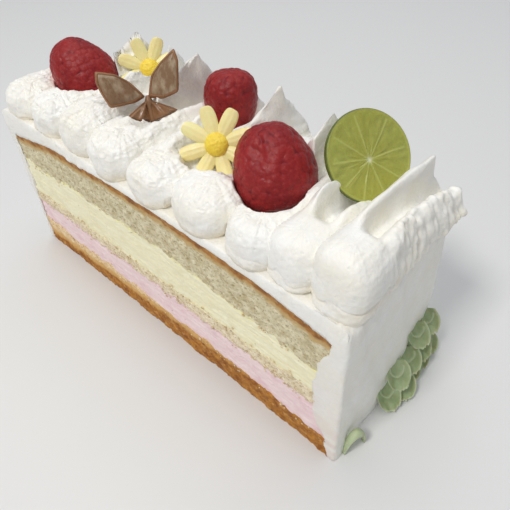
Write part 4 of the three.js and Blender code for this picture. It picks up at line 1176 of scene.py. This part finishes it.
def lime_marks(points):
    """For each point in the disc's plane: nearness to a skin line, the peel's share and the core's."""
    flat = points[:, :2]
    skin = np.zeros(len(points))
    for end in LIME_SKINS:
        line = end - LIME_CORE
        share = np.clip((flat - LIME_CORE) @ line / (line @ line), 0, 1)
        away = np.linalg.norm(flat - LIME_CORE - share[:, None] * line, axis=1)
        skin = np.maximum(skin, np.exp(-(away / (0.2 + 0.12 * share)) ** 2))
    radius = np.linalg.norm(flat, axis=1)
    peel = np.clip((radius - (LIME_RADIUS - PEEL * 0.75)) / 0.3, 0, 1)
    pith = np.exp(-((radius - (LIME_RADIUS - PEEL * 1.15)) / 0.3) ** 2)
    core = np.exp(-(np.linalg.norm(flat - LIME_CORE, axis=1) / 0.75) ** 2)
    return skin, peel, pith, core


def lime_colour(tree):
    """Olive-green flesh with lighter drops, yellow-green skins and pith, a pale core, dark peel."""
    place = object_place(tree)
    mix = blend(tree, use_group(tree, mottle_group, Vector=place, Scale=420.0), paint(150, 154, 72),
                paint(166, 170, 84))
    mix = blend(tree, use_group(tree, mottle_group, Vector=place, Scale=70.0), mix, paint(158, 158, 66))
    mix = blend(tree, mark_of(tree, "skin"), mix, paint(176, 180, 96))
    mix = blend(tree, mark_of(tree, "pith"), mix, paint(172, 176, 84))
    mix = blend(tree, mark_of(tree, "core"), mix, paint(214, 214, 178))
    peel = blend(tree, use_group(tree, mottle_group, Vector=place, Scale=500.0), paint(78, 92, 34),
                 paint(104, 118, 48))
    return blend(tree, mark_of(tree, "peel"), mix, peel)


lime_look = finish_material("lime_look", lime_colour, even_roughness(0.25, 0.45, 600.0),
                            noise_height(900.0), 0.12, Subsurface_Weight=0.12,
                            Subsurface_Scale=0.002)
points, faces = lime_surface()
skin, peel, pith, core = lime_marks(points)
toward = points[:, :2] - LIME_CORE
distance = np.linalg.norm(toward, axis=1)
angle = np.arctan2(toward[:, 1], toward[:, 0])
drops = cloud(np.stack([distance / 2.6, angle * 9, np.sign(points[:, 2])], 1), 1.0, 90)
on_face = np.clip((LIME_RADIUS - PEEL * 1.3 - np.linalg.norm(points[:, :2], axis=1)) / 0.3, 0, 1)
lift = on_face * (0.16 * drops * (1 - skin) + 0.12 * skin - 0.25 * core)
points[:, 2] += np.sign(points[:, 2]) * lift
points = put(points, *facing(LIME_AT, LIME_NORMAL))
points[:, 2] = np.maximum(points[:, 2], SHELL_FOOT)
points, faces, kept = weld(points, faces)
make_piece("lime_round", points, faces, lime_look, ["lime_slice"],
           dict(skin=skin[kept], peel=peel[kept], pith=pith[kept], core=core[kept]))

# The border: leaves of soft green cream, pressed out with a flat nozzle so that each is a thin cupped
# scale with a wavy edge. They overlap in two layers round the foot and climb the back corner.
LEAF_WIDTH, LEAF_HEIGHT, LEAF_THICKNESS = 9.6, 10.4, 0.9
LEAF_CUP, RUFFLE, INNER_RIM = 2.6, 0.3, 0.6
LEAF_FACING = (0.6, -0.45, 0.66)
BACK_PLACES = tuple(9.0 * i for i in range(-8, 9))
LEAF_ROWS = [
    ("right", 4.5, 2, (-1.6, 11.2, 17.6), 0.95), ("right", 4.3, 3.8, (4.8,), 0.95),
    ("right", 12.5, 2.2, (2.5, 9.5, 16.5), 0.95), ("right", 20, 1.4, (15.5, 22.5), 0.85),
    ("right", 4.2, 2, (25,), 0.9), ("back", 5.6, 3, BACK_PLACES, 1.2),
    ("left", 5.6, 3, (-24, -15, -6, 3, 12), 1.2),
]


def wall_place(side, p, z):
    """A point on the coat and the turn of its side from the right end."""
    rise = z / TOP
    if side == "right":
        return np.array([RIGHT_FOOT - RIGHT_LEAN * rise, p, z]), 0.0
    if side == "back":
        return np.array([-p, BACK - 1.5 * rise, z]), math.pi / 2
    return np.array([-HALF - LEFT_FLARE, -p, z]), math.pi


def sheet(front, back):
    """Closed sheet between two grids alike, joined round their rims."""
    rows, columns = front.shape[:2]
    ring = np.stack([front, back])
    points = ring.reshape(-1, 3)
    i, j = np.meshgrid(np.arange(rows - 1), np.arange(columns - 1), indexing="ij")
    a = (i * columns + j).ravel()
    b, c, d = a + columns, a + columns + 1, a + 1
    n = rows * columns
    faces = [np.stack([a, b, c], 1), np.stack([a, c, d], 1), np.stack([a + n, c + n, b + n], 1),
             np.stack([a + n, d + n, c + n], 1)]
    rim = np.concatenate([np.arange(columns - 1), columns * np.arange(1, rows) - 1,
                          np.arange(rows * columns - 1, (rows - 1) * columns, -1),
                          columns * np.arange(rows - 1, 0, -1)])
    after = np.roll(rim, -1)
    faces += [np.stack([rim, after, after + n], 1), np.stack([rim, after + n, rim + n], 1)]
    return points, np.concatenate(faces)


def leaf_surface(side, z, out, p, size, seed):
    """A scale that hangs from the coat and faces out, along and up. Its half width is the sine of the
    way down to the 0.7 power. Its margins stand up in a rim, ruffled by a sine round it, and a second
    rim crosses it where the nozzle paused."""
    origin, turn = wall_place(side, p, z)
    c, s = math.cos(turn), math.sin(turn)
    spin = np.array([[c, s, 0], [-s, c, 0], [0, 0, 1]])
    origin, axes = facing(origin + np.array([out, 0, 0]) @ spin, np.array(LEAF_FACING) @ spin)
    width = LEAF_WIDTH * size * (1 + 0.06 * unevenness(seed, 2))
    height = LEAF_HEIGHT * size * (1 + 0.07 * unevenness(seed, 4))
    u, v = np.meshgrid(np.linspace(0, 1, 34), np.linspace(0, 1, 34), indexing="ij")
    c = 2 * v - 1
    half = width / 2 * np.sin(np.pi * (0.2 + 0.6 * u)) ** 0.7
    low = np.clip((u - 0.55) / 0.45, 0, 1)
    rim = np.maximum(np.abs(c) ** 2.6, low ** 2.6)
    margin = np.clip(1 - np.minimum((1 - np.abs(c)) * half, (1 - u) * height) / 0.6, 0, 1)
    inner = np.exp(-((np.sqrt(c * c + ((u - 0.2) / 0.62) ** 2) - 0.62) / 0.07) ** 2) * (u > 0.2)
    ribs = 0.16 * np.sin(c * 8 + 1.5 * np.sin(u * 4 + seed)) * (1 - margin)

    def face(lift):
        wave = (RUFFLE * np.sin(5 * np.pi * v + 4 * u + seed)
                + 0.18 * np.sin(13 * np.pi * v + 2 * seed) * margin) * rim
        notch = 0.25 * np.sin(9 * np.pi * v + 3 * seed) * u * margin
        along = height * (0.5 - u * (1 - 0.14 * c * c)) + notch
        return np.stack([c * half, along, LEAF_CUP * (rim - 0.35) + wave + lift * (1 - 0.5 * margin) + ribs
                         + INNER_RIM * inner], -1)

    points, faces = sheet(put(face(LEAF_THICKNESS), origin, axes), put(face(0), origin, axes))
    pale = np.maximum(margin, 0.7 * inner).ravel()
    return points, faces, np.concatenate([pale, pale])


def leaf_colour(tree):
    """Soft green cream: sage, greyer in clouds, and paler where the margin thins out."""
    place = object_place(tree)
    mix = blend(tree, use_group(tree, mottle_group, Vector=place, Scale=150.0), paint(178, 194, 150),
                paint(158, 175, 128))
    return blend(tree, sum_of(tree, mark_of(tree, "margin"), 0.85, "MULTIPLY"), mix, paint(216, 226, 190))


leaf_look = finish_material("green_cream_look", leaf_colour, even_roughness(0.4, 0.6, 300.0),
                            noise_height(900.0), 0.1, Subsurface_Weight=0.15, Subsurface_Scale=0.002)
leaf_count = 0
for side, z, out, places, size in LEAF_ROWS:
    for p in places:
        points, faces, margin = leaf_surface(side, z, out, p, size, leaf_count)
        points[:, 2] = np.maximum(points[:, 2], 0)
        points, faces, kept = weld(points, faces)
        leaf_count += 1
        make_piece(f"green_leaf_{leaf_count}", points, faces, leaf_look, [f"leaf_{leaf_count}"],
                   dict(margin=margin[kept]))

CURL_AT = (RIGHT_FOOT + 1.9, -21.9)
CURL_ALONG = (0.35, 0.94)
CURL_RADIUS, CURL_RISE = 3.9, 2.6


def curl_surface():
    """A flat oval ribbon carried over an arch, 2.6 times as high as it is round, thin at its feet."""
    turn = np.linspace(0, np.pi, 60)[:, None]
    around = np.linspace(0, 2 * np.pi, 20, endpoint=False)[None, :]
    taper = 0.55 + 0.45 * np.sin(turn)
    radius = CURL_RADIUS + 0.55 * taper * np.sin(around)
    along, aside = -radius * np.cos(turn), 1.5 * taper * np.cos(around)
    return tube(np.stack([CURL_AT[0] + along * CURL_ALONG[0] + aside * CURL_ALONG[1],
                          CURL_AT[1] + along * CURL_ALONG[1] - aside * CURL_ALONG[0],
                          CURL_RISE * radius * np.sin(turn)], -1))


points, faces = curl_surface()
make_piece("green_leaf_curl", points, faces, leaf_look, ["leaf_curl"], dict(margin=0.4))

# Crumbs that the knife pulled out of the sponges and left on the cut face, along the joints.
rng = np.random.default_rng(7)
CRUMB_COUNT = 260


def crumb_lump(centre, size):
    """A small uneven lump: a ball of five rings of seven points, each pushed in or out by chance."""
    polar = np.linspace(0.35, np.pi - 0.35, 5)[:, None]
    turn = np.linspace(0, 2 * np.pi, 7, endpoint=False)[None, :]
    radius = size * rng.uniform(0.7, 1.25, (5, 7))
    ball = np.stack([radius * np.sin(polar) * np.cos(turn), radius * np.sin(polar) * np.sin(turn),
                     radius * np.cos(polar)], -1)
    return tube(ball * (1.2, 0.6, 0.9) + centre)


lumps = []
for _ in range(CRUMB_COUNT):
    k = int(rng.choice([0, 1, 1, 2, 2, 3]))
    t = rng.uniform(0.02, 0.97)
    z = float(level(k, np.array([t]))[0] + rng.normal(0, 1.1) - (0.8 if k == 0 else 0))
    centre = (float(cake_x(np.array([t]), np.array([z]))[0]), FRONT + 0.15, z)
    lumps.append(crumb_lump(np.array(centre), rng.uniform(0.2, 0.48)))
points, faces = joined(lumps)


def loose_crumb_colour(tree):
    return blend(tree, use_group(tree, mottle_group, Vector=object_place(tree), Scale=600.0),
                 paint(244, 228, 192), paint(216, 190, 146))


crumb_look_loose = finish_material("loose_crumb_look", loose_crumb_colour, even_roughness(0.8, 0.95, 300.0),
                                   noise_height(900.0), 0.15)
make_piece("loose_crumbs", points, faces, crumb_look_loose, [])
